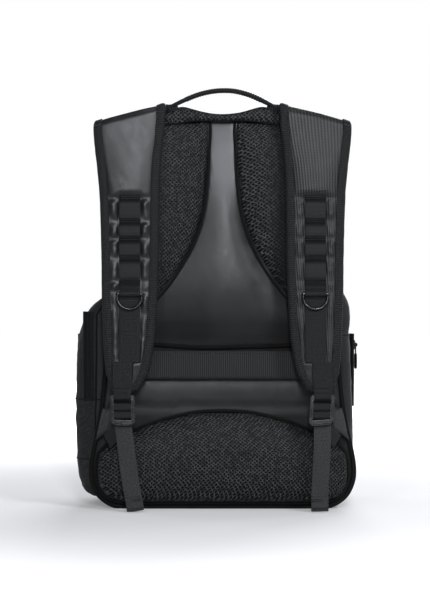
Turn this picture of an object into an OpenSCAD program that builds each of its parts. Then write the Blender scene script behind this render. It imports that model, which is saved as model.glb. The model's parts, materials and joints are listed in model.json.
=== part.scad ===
// Racket backpack: soft-sided court pack with a clamshell front, padded back,
// contoured shoulder straps, ladder-lock adjusters and zipped side pockets.
// Millimetres. +X to the wearer's right seen from the strap side, -Y towards
// the wearer (strap side), +Z up. Origin at the middle of the base, on the floor.

/* [Body] */
// Height of the main body above the floor
body_h = 463; // [455:1:470]
// Half of the interior depth, back panel to front face
body_hd = 80; // [76:1:84]
// Thickness of the padded fabric walls
wall_t = 3; // [2.5:0.1:3.5]
// Height of the moulded base boot
boot_h = 44; // [40:1:50]
// Y position where the main zipper starts on the rear gusset
zip_y = 4; // [2:0.5:6]

/* [Back pads] */
// Thickness of the two upper back pads
upper_pad_t = 13.5; // [10:0.5:14]
// Thickness of the lumbar pad
lumbar_pad_t = 17.5; // [14:0.5:18]
// Width of the luggage pass-through band
band_w = 34; // [28:1:38]

/* [Shoulder straps] */
// Outward lean of the straps from vertical, degrees
lean = 3.5; // [2:0.5:5]
// Distance of each strap's centre line from the middle of the bag
strap_x = 112; // [110:1:114]
// Total thickness of a strap
strap_t = 9; // [8:0.5:10]
// Outer radius of the fold at the top of a strap
fold_r = 10; // [9.5:0.5:10]
// Width of the attachment webbing on the strap
web_w = 25; // [22:1:25]
// Thickness of the webbing
web_t = 1.6; // [1.2:0.1:1.8]

/* [Hardware] */
// Wire radius of the D-rings
ring_wire_r = 1.75; // [1.5:0.05:2]
// Half of the D-ring's centre-line width
ring_hw = 14.7; // [14.5:0.1:15.5]
// Outer width of the ladder-lock buckles
lock_w = 28; // [27:0.5:29]
// Width of the adjuster webbing
tail_w = 21; // [19:0.5:21]
// Running clearance between a bar and the webbing round it
run_c = 0.1; // [0.08:0.01:0.1]

/* [Hidden] */
$fn = 48;

fabric = [0.16, 0.165, 0.17];
coated = [0.23, 0.235, 0.24];
mesh_c = [0.11, 0.112, 0.118];
trim = [0.07, 0.07, 0.075];
webbing = [0.13, 0.132, 0.138];
plastic = [0.1, 0.1, 0.105];

hinge_y = -98;      // axis of the strap fold
hinge_z = 469;      // height of that axis at strap_x
fold_k = 0.256;     // drop of the fold per mm outwards
front_z = boot_h;   // height where the clamshell front hinges

// ---------- helpers ----------
function cr(a, b, c, d, t) = 0.5 * (2 * b + (c - a) * t + (2 * a - 5 * b + 4 * c - d) * t * t + (3 * b - a - 3 * c + d) * t * t * t);
function spline(p, n) = [for (i = [0:len(p) - 2]) for (k = [0:n - 1]) cr(p[max(i - 1, 0)], p[i], p[i + 1], p[min(i + 2, len(p) - 1)], k / n), p[len(p) - 1]];
function closed_spline(p, n) = let (m = len(p)) [for (i = [0:m - 1]) for (k = [0:n - 1]) cr(p[(i - 1 + m) % m], p[i], p[(i + 1) % m], p[(i + 2) % m], k / n)];
function nrm(p, i) = let (n = len(p), a = p[(i - 1 + n) % n], b = p[(i + 1) % n], t = (b - a) / norm(b - a)) [t[1], -t[0]];
function grow(p, d) = [for (i = [0:len(p) - 1]) p[i] + d * nrm(p, i)];
function mirrored(p) = [for (i = [len(p) - 1:-1:0]) [-p[i][0], p[i][1]]];
function full(h) = concat([for (i = [0:len(h) - 2]) h[i]], [for (i = [len(h) - 1:-1:1]) [-h[i][0], h[i][1]]]);

// extrudes an XZ outline from y0 to y1
module slab(y0, y1) translate([0, y1, 0]) rotate([90, 0, 0]) linear_extrude(height = y1 - y0) children();

// closed solid through rings of equal length, with a fanned cap at each end
function mid(r) = [for (q = r) 1] * r / len(r);
function turn(r) = [for (i = [0:len(r) - 1]) 1] * [for (i = [0:len(r) - 1]) cross(r[i] - r[0], r[(i + 1) % len(r)] - r[0])];
module loft(rings0) {
  m = len(rings0); n = len(rings0[0]);
  rings = turn(rings0[0]) * (mid(rings0[1]) - mid(rings0[0])) > 0 ? rings0 : [for (r = rings0) [for (i = [n - 1:-1:0]) r[i]]];
  polyhedron(
    points = concat([for (r = rings) for (p = r) p], [mid(rings[0]), mid(rings[m - 1])]),
    faces = concat(
      [for (i = [0:n - 1]) [m * n, i, (i + 1) % n]],
      [for (j = [0:m - 2]) for (i = [0:n - 1]) each [
        [j * n + i, (j + 1) * n + i, (j + 1) * n + (i + 1) % n],
        [j * n + i, (j + 1) * n + (i + 1) % n, j * n + (i + 1) % n]]],
      [for (i = [0:n - 1]) [m * n + 1, (m - 1) * n + (i + 1) % n, (m - 1) * n + i]]), convexity = 6);
}

// pad from an XZ outline; each section is [y, inset], y falling towards the wearer
module pillow(outline, sections) loft([for (s = sections) [for (p = grow(outline, -s[1])) [p[0], s[0], p[1]]]]);

// ring of a flat ribbon: centre c, half-width vector w, half-thickness vector t
function ribbon_ring(c, w, t) = [for (q = [[-1, -0.5], [-0.94, -1], [0.94, -1], [1, -0.5], [1, 0.5], [0.94, 1], [-0.94, 1], [-1, 0.5]]) c + q[0] * w + q[1] * t];

// ---------- body outline, right half, bottom middle to top middle ----------
half_body = spline([[0, 2], [60, 2], [100, 2], [116, 2.4], [134, 6], [149, 17], [157, 34], [158, 52], [154, 76], [148, 105], [143, 140], [140, 180], [139, 240], [139, 320], [138, 380], [135, 415], [126, 441], [108, 457], [84, body_h - 1], [40, body_h], [0, body_h]], 3);
body_o = [for (p = full(half_body)) [p[0], max(p[1], 2)]];
body_i = grow(body_o, -wall_t);
function wall_x(z) = lookup(z, [for (i = [9:48]) [half_body[i][1], half_body[i][0]]]);

// back panel: the same sides, with a dipped neckline and raised shoulders
half_back = spline([[0, 2], [60, 2], [100, 2], [116, 2.4], [134, 6], [149, 17], [157, 34], [158, 52], [154, 76], [148, 105], [143, 140], [140, 180], [139, 240], [139, 320], [138, 380], [136, 412], [131, 434], [122, 449], [106, 460.5], [88, 466.5], [72, 471], [62, 474], [48, 472], [34, 466.5], [18, 463], [0, 462]], 3);
back_o = [for (p = full(half_back)) [p[0], max(p[1], 2)]];

module back_panel() color(coated) slab(-84, -80.3) polygon(back_o);
module frame_sheet() color(plastic) slab(-79.8, -78.3) polygon(grow(body_o, -wall_t - 1));

module ring2d(z0, z1, x0, x1) intersection() {
  difference() { polygon(body_o); polygon(body_i); }
  translate([x0, z0]) square([x1 - x0, z1 - z0]);
}
module side_wall(s) color(fabric) slab(-80, zip_y) ring2d(boot_h, 415, s > 0 ? 60 : -170, s > 0 ? 170 : -60);
module top_wall() color(fabric) slab(-80, zip_y) ring2d(415, 480, -170, 170);

// depth factor of the front, which leans back towards the top
function lean_f(z) = 1 - 0.3 * pow(max(0, (z - 180) / 280), 1.5);
function front_y(z) = 12 + (body_hd - 12) * lean_f(z);
fs = [[12, 0], [38, 0], [56, 1.5], [67, 5], [74, 11], [78.5, 20], [80, 30]];
front_rings = [for (i = [len(fs) - 1:-1:0]) [for (p = grow(body_o, -fs[i][1])) [p[0], 12 + (fs[i][0] * body_hd / 80 - 12) * lean_f(p[1]), max(p[1], 2)]]];
front_inner = [for (i = [len(fs) - 1:-1:0]) [for (p = grow(body_o, -fs[i][1] - wall_t)) [p[0], i == 0 ? 6 : 12 + (fs[i][0] * body_hd / 80 - 12) * lean_f(p[1]) - wall_t * (i / (len(fs) - 1)), max(p[1], 2 + wall_t)]]];

module front_solid() difference() { loft(front_rings); loft(front_inner); }
module front_shell() color(fabric) intersection() {
  front_solid();
  translate([-200, 0, front_z + 0.4]) cube([400, 200, 500]);
}
// the boot closes the bottom and its lower front
module base_boot() color(trim) {
  slab(-80, 12) ring2d(0, boot_h, -170, 170);
  intersection() { front_solid(); translate([-200, 12, 0]) cube([400, 200, front_z]); }
}
module base_skid() color(plastic) difference() {
  translate([-112, -74, 0]) cube([224, 136, 2]);
  for (x = [-1, 1], y = [-74, 62]) translate([x * 112, y, -1]) rotate([0, 0, 45]) cube([18, 18, 8], center = true);
}
module sleeve_divider() color(fabric) slab(-58, -55) polygon([[-128, 8], [128, 8], [128, 300], [112, 330], [-112, 330], [-128, 300]]);

module main_zip_rear() color(trim) slab(zip_y, 7.8) ring2d(boot_h, 480, -170, 170);
module main_zip_front() color(trim) slab(8.2, 12) ring2d(front_z + 0.4, 480, -170, 170);

module back_piping() color(trim) slab(-87, -81) difference() {
  polygon(grow(back_o, 3.4)); polygon(grow(back_o, 0.2));
  translate([-160, 438]) square([320, 60]);
  translate([-200, -10]) square([400, 10]);
}

// ---------- pads ----------
upper_pts = closed_spline([[16, 452], [16, 425], [17, 397], [20, 368], [25, 345], [34, 320], [48, 294], [65, 269], [82, 250], [100, 237], [117, 232], [128, 242], [131, 290], [131, 350], [130, 400], [124, 432], [110, 448], [88, 454], [58, 459], [34, 456]], 3);
module upper_pad() color(mesh_c) pillow(grow(upper_pts, 0), [[-84.3 - upper_pad_t, 9], [-84.3 - upper_pad_t + 2, 4.5], [-84.3 - upper_pad_t + 7, 1], [-84.3, 0]]);
lumbar_half = spline([[0, 6], [60, 6], [104, 6], [128, 9.5], [142, 19], [149, 35], [149, 50], [143, 63], [130, 75], [112, 89], [90, 102], [62, 112], [30, 118.5], [0, 120]], 3);
module lumbar_pad() color(mesh_c) pillow(full(lumbar_half), [[-84.3 - lumbar_pad_t, 12], [-84.3 - lumbar_pad_t + 2, 6], [-84.3 - lumbar_pad_t + 8, 1.5], [-84.3, 0]]);

neck_top = spline([[-62, 477], [-54, 482.5], [-46, 484.8], [-36, 482], [-23, 478], [-11, 475.6], [0, 475], [11, 475.6], [23, 477.6], [36, 482], [46, 484.8], [54, 482.5], [62, 477]], 2);
neck_low = spline([[-62, 470], [-54, 468], [-46, 465.5], [-36, 463], [-23, 461], [-11, 460], [0, 459.6], [11, 460], [23, 461], [36, 463], [46, 465.5], [54, 468], [62, 470]], 2);
module neck_collar() color(mesh_c) slab(-95, -84.3) polygon(concat([for (i = [len(neck_top) - 1:-1:0]) neck_top[i]], neck_low));

module trolley_band() color(webbing) {
  yb = -97.5; y0 = -84.8;
  translate([0, 0, 175 - band_w / 2]) linear_extrude(height = band_w)
    polygon([[-134, y0 - 2], [-122, y0 - 2], [-98, yb - 1.8], [98, yb - 1.8], [122, y0 - 2], [134, y0 - 2], [134, y0], [121.4, y0], [97.4, yb], [-97.4, yb], [-121.4, y0], [-134, y0]]);
}

// ---------- strap roots, on the pack behind each fold ----------
module root_side() color(coated) {
  // sloped bar along the fold
  difference() {
    translate([strap_x, 0, hinge_z]) rotate([0, atan(fold_k), 0])
      translate([-44.4, -90.2, -9]) cube([88.8, 5.9, 17.5]);
    translate([strap_x, hinge_y, hinge_z]) rotate([0, atan(fold_k) + 90, 0]) cylinder(r = fold_r + 0.6, h = 140, center = true);
  }
}

// ---------- lower wings and anchor webbing ----------
module wing_side() color(fabric) polyhedron(
  points = [[153, -88.7, 84], [144.5, -88.7, 122], [130.5, -114.6, 128], [125, -115.2, 101],
            [153, -87.2, 84], [144.5, -87.2, 122], [130.5, -113.1, 128], [125, -113.7, 101]],
  faces = [[2, 1, 0], [3, 2, 0], [4, 5, 6], [4, 6, 7], [5, 4, 0], [1, 5, 0], [6, 5, 1], [2, 6, 1], [7, 6, 2], [3, 7, 2], [4, 7, 3], [0, 4, 3]]);
// stations: position, turn of the strip's plane, slant of its run
anchor_pts = [[138.2, -105.7, 83.5, 50, 48], [133, -111.6, 89, 50, 45], [128, -117, 96.5, 43, 35], [123, -121.5, 105, 5, 18], [120.5, -122.2, 116, 0, 5]];
module anchor_side() color(webbing) loft([for (p = anchor_pts) ribbon_ring([p[0], p[1], p[2]],
  10 * [cos(p[4]) * cos(p[3]), cos(p[4]) * sin(p[3]), sin(p[4])], 0.6 * [sin(p[3]), -cos(p[3]), 0])]);

// ---------- straps: local frame has its outer face on y = 0 ----------
// strap stations: [distance below the fold axis, inner x, outer x]
strap_sta = [[0, 69, 155], [12, 69.5, 154.5], [30, 71, 153], [55, 74, 150.5], [90, 75.5, 147.5], [130, 76, 146], [170, 76.5, 145], [215, 78, 144.5], [255, 80.5, 143], [285, 84.5, 141.5], [305, 90, 139], [318, 97, 135.5], [326, 104, 131.5]];
strap_pts = spline(strap_sta, 2);
fold_deg = [58, 80, 100, 120, 140, 160, 180];
// ring of a strap layer from depth a to depth b below the outer face, edges moved in by e0 (inner) and e1 (outer)
function layer_ring(xi, xo, k, a, b, c, s, z) = // c, s: direction of the outward normal in the YZ plane
  let (xm = (xi + xo) / 2, hw = (xo - xi) / 2,
       o = [0, fold_r + c * (fold_r - (a + b) / 2), z + s * (fold_r - (a + b) / 2)])
  ribbon_ring([xm, o[1], o[2] - k * (xm - strap_x)], [hw, 0, -k * hw], (b - a) / 2 * [0, c, s]);
function fade(d) = fold_k * max(0, 1 - d / 70);
function layer(a, b, e) = concat(
  [for (t = fold_deg) layer_ring(69 + e[0], 155 - e[1], fold_k, a, b, cos(t), sin(t), 0)],
  [for (i = [1:len(strap_pts) - 1]) let (p = strap_pts[i]) layer_ring(p[1] + e[0], p[2] - e[1], fade(p[0]), a, b, -1, 0, -p[0])]);
function edge_layer(a, b, w, outer) = concat(
  [for (t = fold_deg) layer_ring(outer ? 155 - w : 69, outer ? 155 : 69 + w, fold_k, a, b, cos(t), sin(t), 0)],
  [for (i = [1:len(strap_pts) - 1]) let (p = strap_pts[i]) layer_ring(outer ? p[2] - w : p[1], outer ? p[2] : p[1] + w, fade(p[0]), a, b, -1, 0, -p[0])]);

// local frame of the strap, for a right-hand side
module strap_frame() translate([0, hinge_y, hinge_z]) rotate([-lean, 0, 0]) translate([0, -fold_r, 0]) children();
module side(s) { if (s > 0) children(); else mirror([1, 0, 0]) children(); }

bind_w = 10.5;
module strap_pad() color(coated) strap_frame() loft(layer(0.6, 7, [bind_w + 0.2, bind_w + 0.2]));
module strap_lining() color(mesh_c) strap_frame() loft(layer(7.2, strap_t - 0.2, [bind_w + 0.2, bind_w + 0.2]));
module strap_binding() color(trim) strap_frame() { loft(edge_layer(0.4, strap_t - 0.2, bind_w, true)); loft(edge_layer(0.4, strap_t - 0.2, bind_w, false)); }

// attachment webbing: a flat strip with raised loops, ending round the D-ring bar
seg_z = [[373, 349], [346, 328], [324, 305], [301, 277], [274, 263.6]];
ring_z = 260 - hinge_z; ring_y = -4.3;
wx = 111;
function bump(z0, z1, h, n) = [for (k = [0:n]) [-(web_t + 0.2) - h * sin(180 * k / n), z0 + (z1 - z0) * k / n - hinge_z]];
web_front = [for (s = seg_z) each bump(s[0] - 0.6, s[1] + 0.6, s[0] == 274 ? 1.2 : 3.4, 8)];
web_back = [for (s = seg_z) each [for (k = [0:8]) [-0.2 - (s[0] == 274 ? 1.2 : 3.2) * sin(180 * k / 8), s[0] - 0.6 + (s[1] - s[0] + 1.2) * k / 8 - hinge_z]]];
module yz_strip(w) rotate([90, 0, 90]) translate([0, 0, -w / 2]) linear_extrude(height = w) children();
module strap_webbing() color(webbing) strap_frame() translate([wx, 0, 0]) {
  // raised loops
  yz_strip(web_w) polygon(concat([[-0.2, 378 - hinge_z], [-web_t - 0.2, 378 - hinge_z]], web_front, [for (i = [len(web_back) - 1:-1:0]) web_back[i]]));
  // fold round the D-ring bar
  difference() {
    translate([-web_w / 2, 0, 0]) rotate([0, 90, 0]) translate([-ring_z, ring_y, 0]) cylinder(r = ring_wire_r + run_c + web_t, h = web_w);
    translate([-web_w / 2 - 1, 0, 0]) rotate([0, 90, 0]) translate([-ring_z, ring_y, 0]) cylinder(r = ring_wire_r + run_c, h = web_w + 2);
  }
  // flat strip below the D-ring
  translate([-web_w / 2, -0.2 - web_t, 178 - hinge_z]) cube([web_w, web_t, 256 - 178]);
}

// ladder lock: bar axis position
lock_x = 119.5; lock_z = 136.6 - hinge_z; lock_y = 1.5; bar_r = 1.7;
module strap_end_tab() color(webbing) strap_frame() translate([lock_x, 0, 0]) {
  translate([-12, -0.2 - web_t, 144 - hinge_z]) cube([24, web_t, 177.8 - 144]);
  difference() {
    union() {
      translate([-10, 0, 0]) rotate([0, 90, 0]) translate([-lock_z, lock_y, 0]) cylinder(r = bar_r + run_c + web_t, h = 20);
      translate([-10, -0.2 - web_t, lock_z]) cube([20, web_t, 144 - hinge_z - lock_z]);
    }
    translate([-11, 0, 0]) rotate([0, 90, 0]) translate([-lock_z, lock_y, 0]) cylinder(r = bar_r + run_c, h = 22);
  }
}

module d_ring() color(plastic) strap_frame() translate([wx, ring_y, ring_z]) {
  rotate([0, 90, 0]) cylinder(r = ring_wire_r, h = 2 * ring_hw, center = true);
  for (s = [-1, 1]) {
    translate([s * ring_hw, 0, 0]) sphere(r = ring_wire_r);
    translate([s * ring_hw, 0, -3.5]) cylinder(r = ring_wire_r, h = 3.5);
  }
  translate([0, 0, -3.5]) rotate([-90, 0, 0]) rotate_extrude(angle = 180, $fn = 64) translate([ring_hw, 0]) circle(r = ring_wire_r);
}

module lock_plate() difference() {
  hull() {
    for (s = [-1, 1]) { translate([s * (lock_w / 2 - 1.5), 0.4]) circle(r = 1.5, $fn = 24); translate([s * (lock_w / 2 - 6.5), -26.5]) circle(r = 6.5, $fn = 32); }
  }
  translate([-11, -8]) square([22, 14]);
  translate([-10.6, -18]) square([21.2, 3]);
  translate([-10.6, -27.5]) square([21.2, 3.6]);
}
module ladder_lock() color(plastic) strap_frame() translate([lock_x, lock_y, lock_z]) {
  slab(-1.7, 1.7) lock_plate();
  rotate([0, 90, 0]) cylinder(r = bar_r, h = 22.4, center = true);
}
module lock_wrap() color(webbing) strap_frame() translate([lock_x, lock_y - 1.7, lock_z])
  for (z = [-11.5, -21]) translate([0, 0, z]) yz_strip(20.4)
    polygon([[-0.05, -3.9], [-1, -3.9], [-1.7, -2.2], [-1.9, 0], [-1.7, 2.2], [-1, 3.9], [-0.05, 3.9]]);

// free webbing tail hanging behind the ladder lock; slant is its lean across the bag
tail_top = 108; tail_y = -125;
module tail(slant) color(webbing) translate([lock_x, tail_y, tail_top]) rotate([0, slant, 0]) {
  len = (tail_top - 1.6 - tail_w / 2 * sin(slant)) / cos(slant);
  translate([-tail_w / 2, 0, -len]) cube([tail_w, 1.5, len]);
  translate([-tail_w / 2, -1.5, -len]) cube([tail_w, 1.5, 16]);
}

// ---------- handle ----------
handle_pts = spline([[-66, 484.5], [-57, 489.5], [-44, 496], [-28, 502.2], [-12, 505.8], [2, 506.8], [16, 505.8], [32, 501.6], [48, 494.6], [59, 488.6], [66, 484.8]], 2);
module haul_handle() color(webbing) loft([for (i = [0:len(handle_pts) - 1]) let (p = handle_pts[i], a = handle_pts[max(i - 1, 0)], b = handle_pts[min(i + 1, len(handle_pts) - 1)], t = (b - a) / norm(b - a), w = i < 2 || i > len(handle_pts) - 3 ? 6 : 10) ribbon_ring([p[0], -90, p[1]], [0, w, 0], 2.3 * [-t[1], 0, t[0]])]);

// ---------- pockets ----------
function pocket_ring(z, w, X, c, d) = // c: wall clearance, d: skin depth taken off
  [for (q = [[-77 + d, w + c], [-77 + d, min(156 - d, max(X - 12, w + c + 1) - d)], [-68 + d * 0.6, min(168 - d, max(X - 3, w + c + 1.4) - d)], [-57, X - d - 0.8], [-44, X - d], [-24, X - d], [-12 - d * 0.6, X - 2.5 - d], [-3 - d * 0.8, w + c + (X - w) * 0.62 - d], [-0.5 - d, w + c]]) [max(q[1], w + c), q[0], z]];
left_sta = [[14, 160], [19, 168], [28, 173], [45, 177], [97, 179], [165, 179], [200, 177], [222, 172.5], [236, 167], [248, 157], [256, 146]];
right_sta = [[40, 160.4], [60, 161], [97, 160.2], [137, 159], [181, 157.2], [208, 155.2], [214, 154.4], [223, 156], [243, 155.4], [256, 151.4], [268, 143.6]];
module pocket(sta0) difference() {
  sta = spline(sta0, 2);
  loft([for (p = sta) pocket_ring(p[0], wall_x(p[0]), p[1], 0.9, 0)]);
  loft([for (i = [1:len(sta) - 2]) let (p = sta[i]) pocket_ring(i == 1 ? p[0] + 0.5 : i == len(sta) - 2 ? p[0] - 0.5 : p[0], wall_x(p[0]) - 2, p[1], 0, 2.2)]);
}
module side_pocket_left() color(fabric) mirror([1, 0, 0]) pocket(left_sta);
module side_pocket_right() color(fabric) pocket(right_sta);

// zip strips: a run at the rear of the pocket and one at its front
module side_zip_left() color(trim) mirror([1, 0, 0]) {
  translate([0, 0, 131]) linear_extrude(height = 108) polygon([[157, -77.5], [168.4, -68.95], [169.3, -70.15], [157.9, -78.7]]);
  translate([0, 0, 120]) linear_extrude(height = 90) polygon([[167.6, -1.6], [178.4, -10.6], [179.4, -9.4], [168.6, -0.4]]);
}
module side_zip_right() color(trim)
  translate([0, 0, 120]) linear_extrude(height = 90) polygon([[158.6, -1.2], [162.4, -10.6], [163.8, -10], [160, -0.6]]);

function front_pocket_ring(z, w, b, d, back) = let (y = front_y(z) + back) [for (k = [0:14]) let (t = 180 * k / 14, c = cos(t), s = sin(t)) [(w - d) * sign(c) * pow(abs(c), 0.45), y + (b - d) * pow(s, 0.5), z]];
fp_sta = [[64, 92, 12], [70, 99, 20], [82, 103, 24.5], [120, 104, 26], [180, 104, 25.5], [240, 102, 23], [275, 99, 19.5], [296, 94, 14], [303, 88, 8]];
module front_pocket() color(fabric) difference() {
  loft([for (p = fp_sta) front_pocket_ring(p[0], p[1], p[2], 0, 0.4)]);
  loft([for (i = [1:len(fp_sta) - 2]) let (p = fp_sta[i]) front_pocket_ring(p[0], p[1], p[2] + 3, 2.4, -2)]);
}
module front_pocket_zip() color(trim) translate([-84, 0, 0]) rotate([90, 0, 90]) linear_extrude(height = 168)
  polygon([[101.2, 246], [103, 246], [101.2, 258], [99.4, 258]]);

// ---------- zip sliders and pulls ----------
// slider on its own XY plane: body along X, eye standing up, bridge bar along Y
module slider_body() {
  difference() {
    translate([-6, -4, 0]) cube([12, 8, 2.2]);
    for (s = [-1, 1]) translate([7, s * 5, -1]) rotate([0, 0, 45 * s]) cube([6, 4, 8], center = true);
  }
  for (s = [-1, 1]) translate([-1.2, s * 2.2 - 0.6, 2.2]) cube([2.4, 1.2, 3.4]);
  translate([0, 0, 4.6]) rotate([90, 0, 0]) cylinder(r = 0.9, h = 4.4, center = true);
}
// pull: hangs along -X from the eye, turns about the bar
module pull_body() {
  difference() {
    union() {
      translate([0, 0, 4.6]) rotate([90, 0, 0]) cylinder(r = 2, h = 2.8, center = true);
      translate([-30, -1.4, 3.8]) cube([29, 2.8, 1.6]);
      translate([-30, -3.4, 3.8]) cube([20, 6.8, 1.6]);
    }
    translate([0, 0, 4.6]) rotate([90, 0, 0]) cylinder(r = 0.9 + run_c, h = 8, center = true);
  }
}
module at_main(s) translate([s * 11, 8, body_h + 0.4]) rotate([0, 0, s > 0 ? 180 : 0]) children();
module at_side_l() translate([-173.2, -5.4, 196]) rotate([0, 0, 180 - 50.2]) rotate([0, 90, 0]) translate([0, 0, 1.2]) children();
module at_side_r() translate([161.2, -5.8, 196]) rotate([0, 0, 22.1]) rotate([0, 90, 0]) translate([0, 0, 1.2]) children();
module at_front() translate([70, 102.2, 252]) rotate([-81.5, 0, 0]) rotate([0, 0, 0]) translate([0, 0, 0.3]) children();

back_panel();
frame_sheet();
side_wall(-1);  // side_wall_left
side_wall(1);  // side_wall_right
top_wall();
base_boot();
base_skid();
sleeve_divider();
mirror([1, 0, 0]) upper_pad();  // upper_pad_left
upper_pad();  // upper_pad_right
lumbar_pad();
neck_collar();
back_piping();
trolley_band();
side(-1) root_side();  // strap_root_left
side(1) root_side();  // strap_root_right
side(-1) wing_side();  // wing_left
side(1) wing_side();  // wing_right
side(-1) anchor_side();  // anchor_web_left
side(1) anchor_side();  // anchor_web_right
side_pocket_left();
side_pocket_right();
side_zip_left();
side_zip_right();
main_zip_rear();
front_shell();
main_zip_front();
front_pocket();
front_pocket_zip();
haul_handle();
side(-1) strap_pad();  // strap_pad_left
side(-1) strap_lining();  // strap_lining_left
side(-1) strap_binding();  // strap_binding_left
side(-1) strap_webbing();  // strap_webbing_left
side(-1) strap_end_tab();  // strap_end_tab_left
side(-1) d_ring();  // d_ring_left
side(-1) ladder_lock();  // ladder_lock_left
side(-1) lock_wrap();  // lock_wrap_left
side(-1) tail(8);  // tail_left
side(1) strap_pad();  // strap_pad_right
side(1) strap_lining();  // strap_lining_right
side(1) strap_binding();  // strap_binding_right
side(1) strap_webbing();  // strap_webbing_right
side(1) strap_end_tab();  // strap_end_tab_right
side(1) d_ring();  // d_ring_right
side(1) ladder_lock();  // ladder_lock_right
side(1) lock_wrap();  // lock_wrap_right
side(1) tail(1.5);  // tail_right
color(plastic) at_main(-1) slider_body();  // main_slider_left
color(webbing) at_main(-1) pull_body();  // main_pull_left
color(plastic) at_main(1) slider_body();  // main_slider_right
color(webbing) at_main(1) pull_body();  // main_pull_right
color(plastic) at_side_l() slider_body();  // side_slider_left
color(webbing) at_side_l() mirror([1, 0, 0]) pull_body();  // side_pull_left
color(plastic) at_side_r() slider_body();  // side_slider_right
color(webbing) at_side_r() mirror([1, 0, 0]) pull_body();  // side_pull_right
color(plastic) at_front() slider_body();  // front_slider
color(webbing) at_front() pull_body();  // front_pull
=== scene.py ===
# Racket backpack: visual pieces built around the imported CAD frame.
import math, json
import bpy, bmesh
import numpy as np
from mathutils import Vector, Matrix, noise as mnoise

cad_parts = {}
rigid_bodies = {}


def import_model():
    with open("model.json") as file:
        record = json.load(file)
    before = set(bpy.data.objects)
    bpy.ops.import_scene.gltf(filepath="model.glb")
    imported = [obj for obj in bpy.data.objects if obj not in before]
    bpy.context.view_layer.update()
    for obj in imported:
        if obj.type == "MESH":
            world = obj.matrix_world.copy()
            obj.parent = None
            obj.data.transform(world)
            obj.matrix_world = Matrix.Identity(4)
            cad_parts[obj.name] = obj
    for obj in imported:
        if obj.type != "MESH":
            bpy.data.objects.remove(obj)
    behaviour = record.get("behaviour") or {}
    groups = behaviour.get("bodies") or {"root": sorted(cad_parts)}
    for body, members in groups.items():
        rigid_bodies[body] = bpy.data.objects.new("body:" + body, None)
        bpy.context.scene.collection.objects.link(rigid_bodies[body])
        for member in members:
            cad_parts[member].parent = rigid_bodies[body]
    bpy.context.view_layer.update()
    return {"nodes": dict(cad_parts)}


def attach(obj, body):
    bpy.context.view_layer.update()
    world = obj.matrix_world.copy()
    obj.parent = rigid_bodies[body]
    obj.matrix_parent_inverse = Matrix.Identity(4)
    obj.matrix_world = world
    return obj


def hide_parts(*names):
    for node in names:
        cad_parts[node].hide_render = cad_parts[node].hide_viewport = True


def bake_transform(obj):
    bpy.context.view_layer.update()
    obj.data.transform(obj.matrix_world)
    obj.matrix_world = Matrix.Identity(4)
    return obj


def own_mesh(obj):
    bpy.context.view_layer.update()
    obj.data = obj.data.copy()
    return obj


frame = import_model()
NODES = frame["nodes"]
RS = np.random.RandomState(7)
MM = 0.001

# ------------------------------------------------------------------ camera, light, floor
def look_at(ob, at):
    d = Vector(at) - ob.location
    ob.rotation_euler = d.to_track_quat('-Z', 'Y').to_euler()

scene = bpy.context.scene
scene.view_settings.view_transform = 'Standard'
scene.view_settings.look = 'None'
scene.view_settings.gamma = 0.8
cam_d = bpy.data.cameras.new("camera")
cam_d.sensor_width = 36
cam_d.lens = 130
cam_d.clip_end = 60
cam = bpy.data.objects.new("camera", cam_d)
scene.collection.objects.link(cam)
cam.location = (-0.009, -2.718, 0.300)
look_at(cam, (-0.009, -0.110, 0.2525))
scene.camera = cam

def area(name, loc, at, size, power, color=(0.98, 1.0, 1.04)):
    d = bpy.data.lights.new(name, 'AREA')
    d.shape = 'RECTANGLE'
    d.size, d.size_y = size
    d.energy = power
    d.color = color
    o = bpy.data.objects.new(name, d)
    scene.collection.objects.link(o)
    o.location = loc
    look_at(o, at)
    return o

area("key", (1.35, -1.7, 1.55), (0, -0.1, 0.30), (0.45, 0.45), 26)
area("front_strip", (0.14, -3.1, 1.25), (0, -0.1, 0.30), (0.34, 1.0), 58)
area("front_left", (-1.05, -2.9, 1.2), (-0.12, -0.1, 0.42), (0.35, 0.7), 15)
area("fill", (-2.1, -0.7, 1.1), (0, -0.1, 0.25), (0.8, 1.2), 2.5)
area("top", (0.1, 0.0, 2.3), (0, 0, 0.2), (1.2, 1.0), 9)
area("back_soft", (0.6, 2.4, 1.3), (0, 0, 0.25), (1.6, 1.4), 55)
area("side_right", (2.1, 1.3, 0.8), (0.1, 0.05, 0.25), (0.8, 1.2), 15)
area("side_left", (-2.1, 1.3, 0.8), (-0.1, 0.05, 0.25), (0.8, 1.2), 10)

world = bpy.data.worlds.new("studio")
scene.world = world
world.use_nodes = True
wn, wl = world.node_tree.nodes, world.node_tree.links
bg = wn["Background"]
bg.inputs[0].default_value = (1, 1, 1, 1)
lp = wn.new('ShaderNodeLightPath')
mr = wn.new('ShaderNodeMapRange')
mr.inputs[3].default_value, mr.inputs[4].default_value = 0.022, 1.0
wl.new(lp.outputs['Is Camera Ray'], mr.inputs[0])
wl.new(mr.outputs[0], bg.inputs[1])

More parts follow.
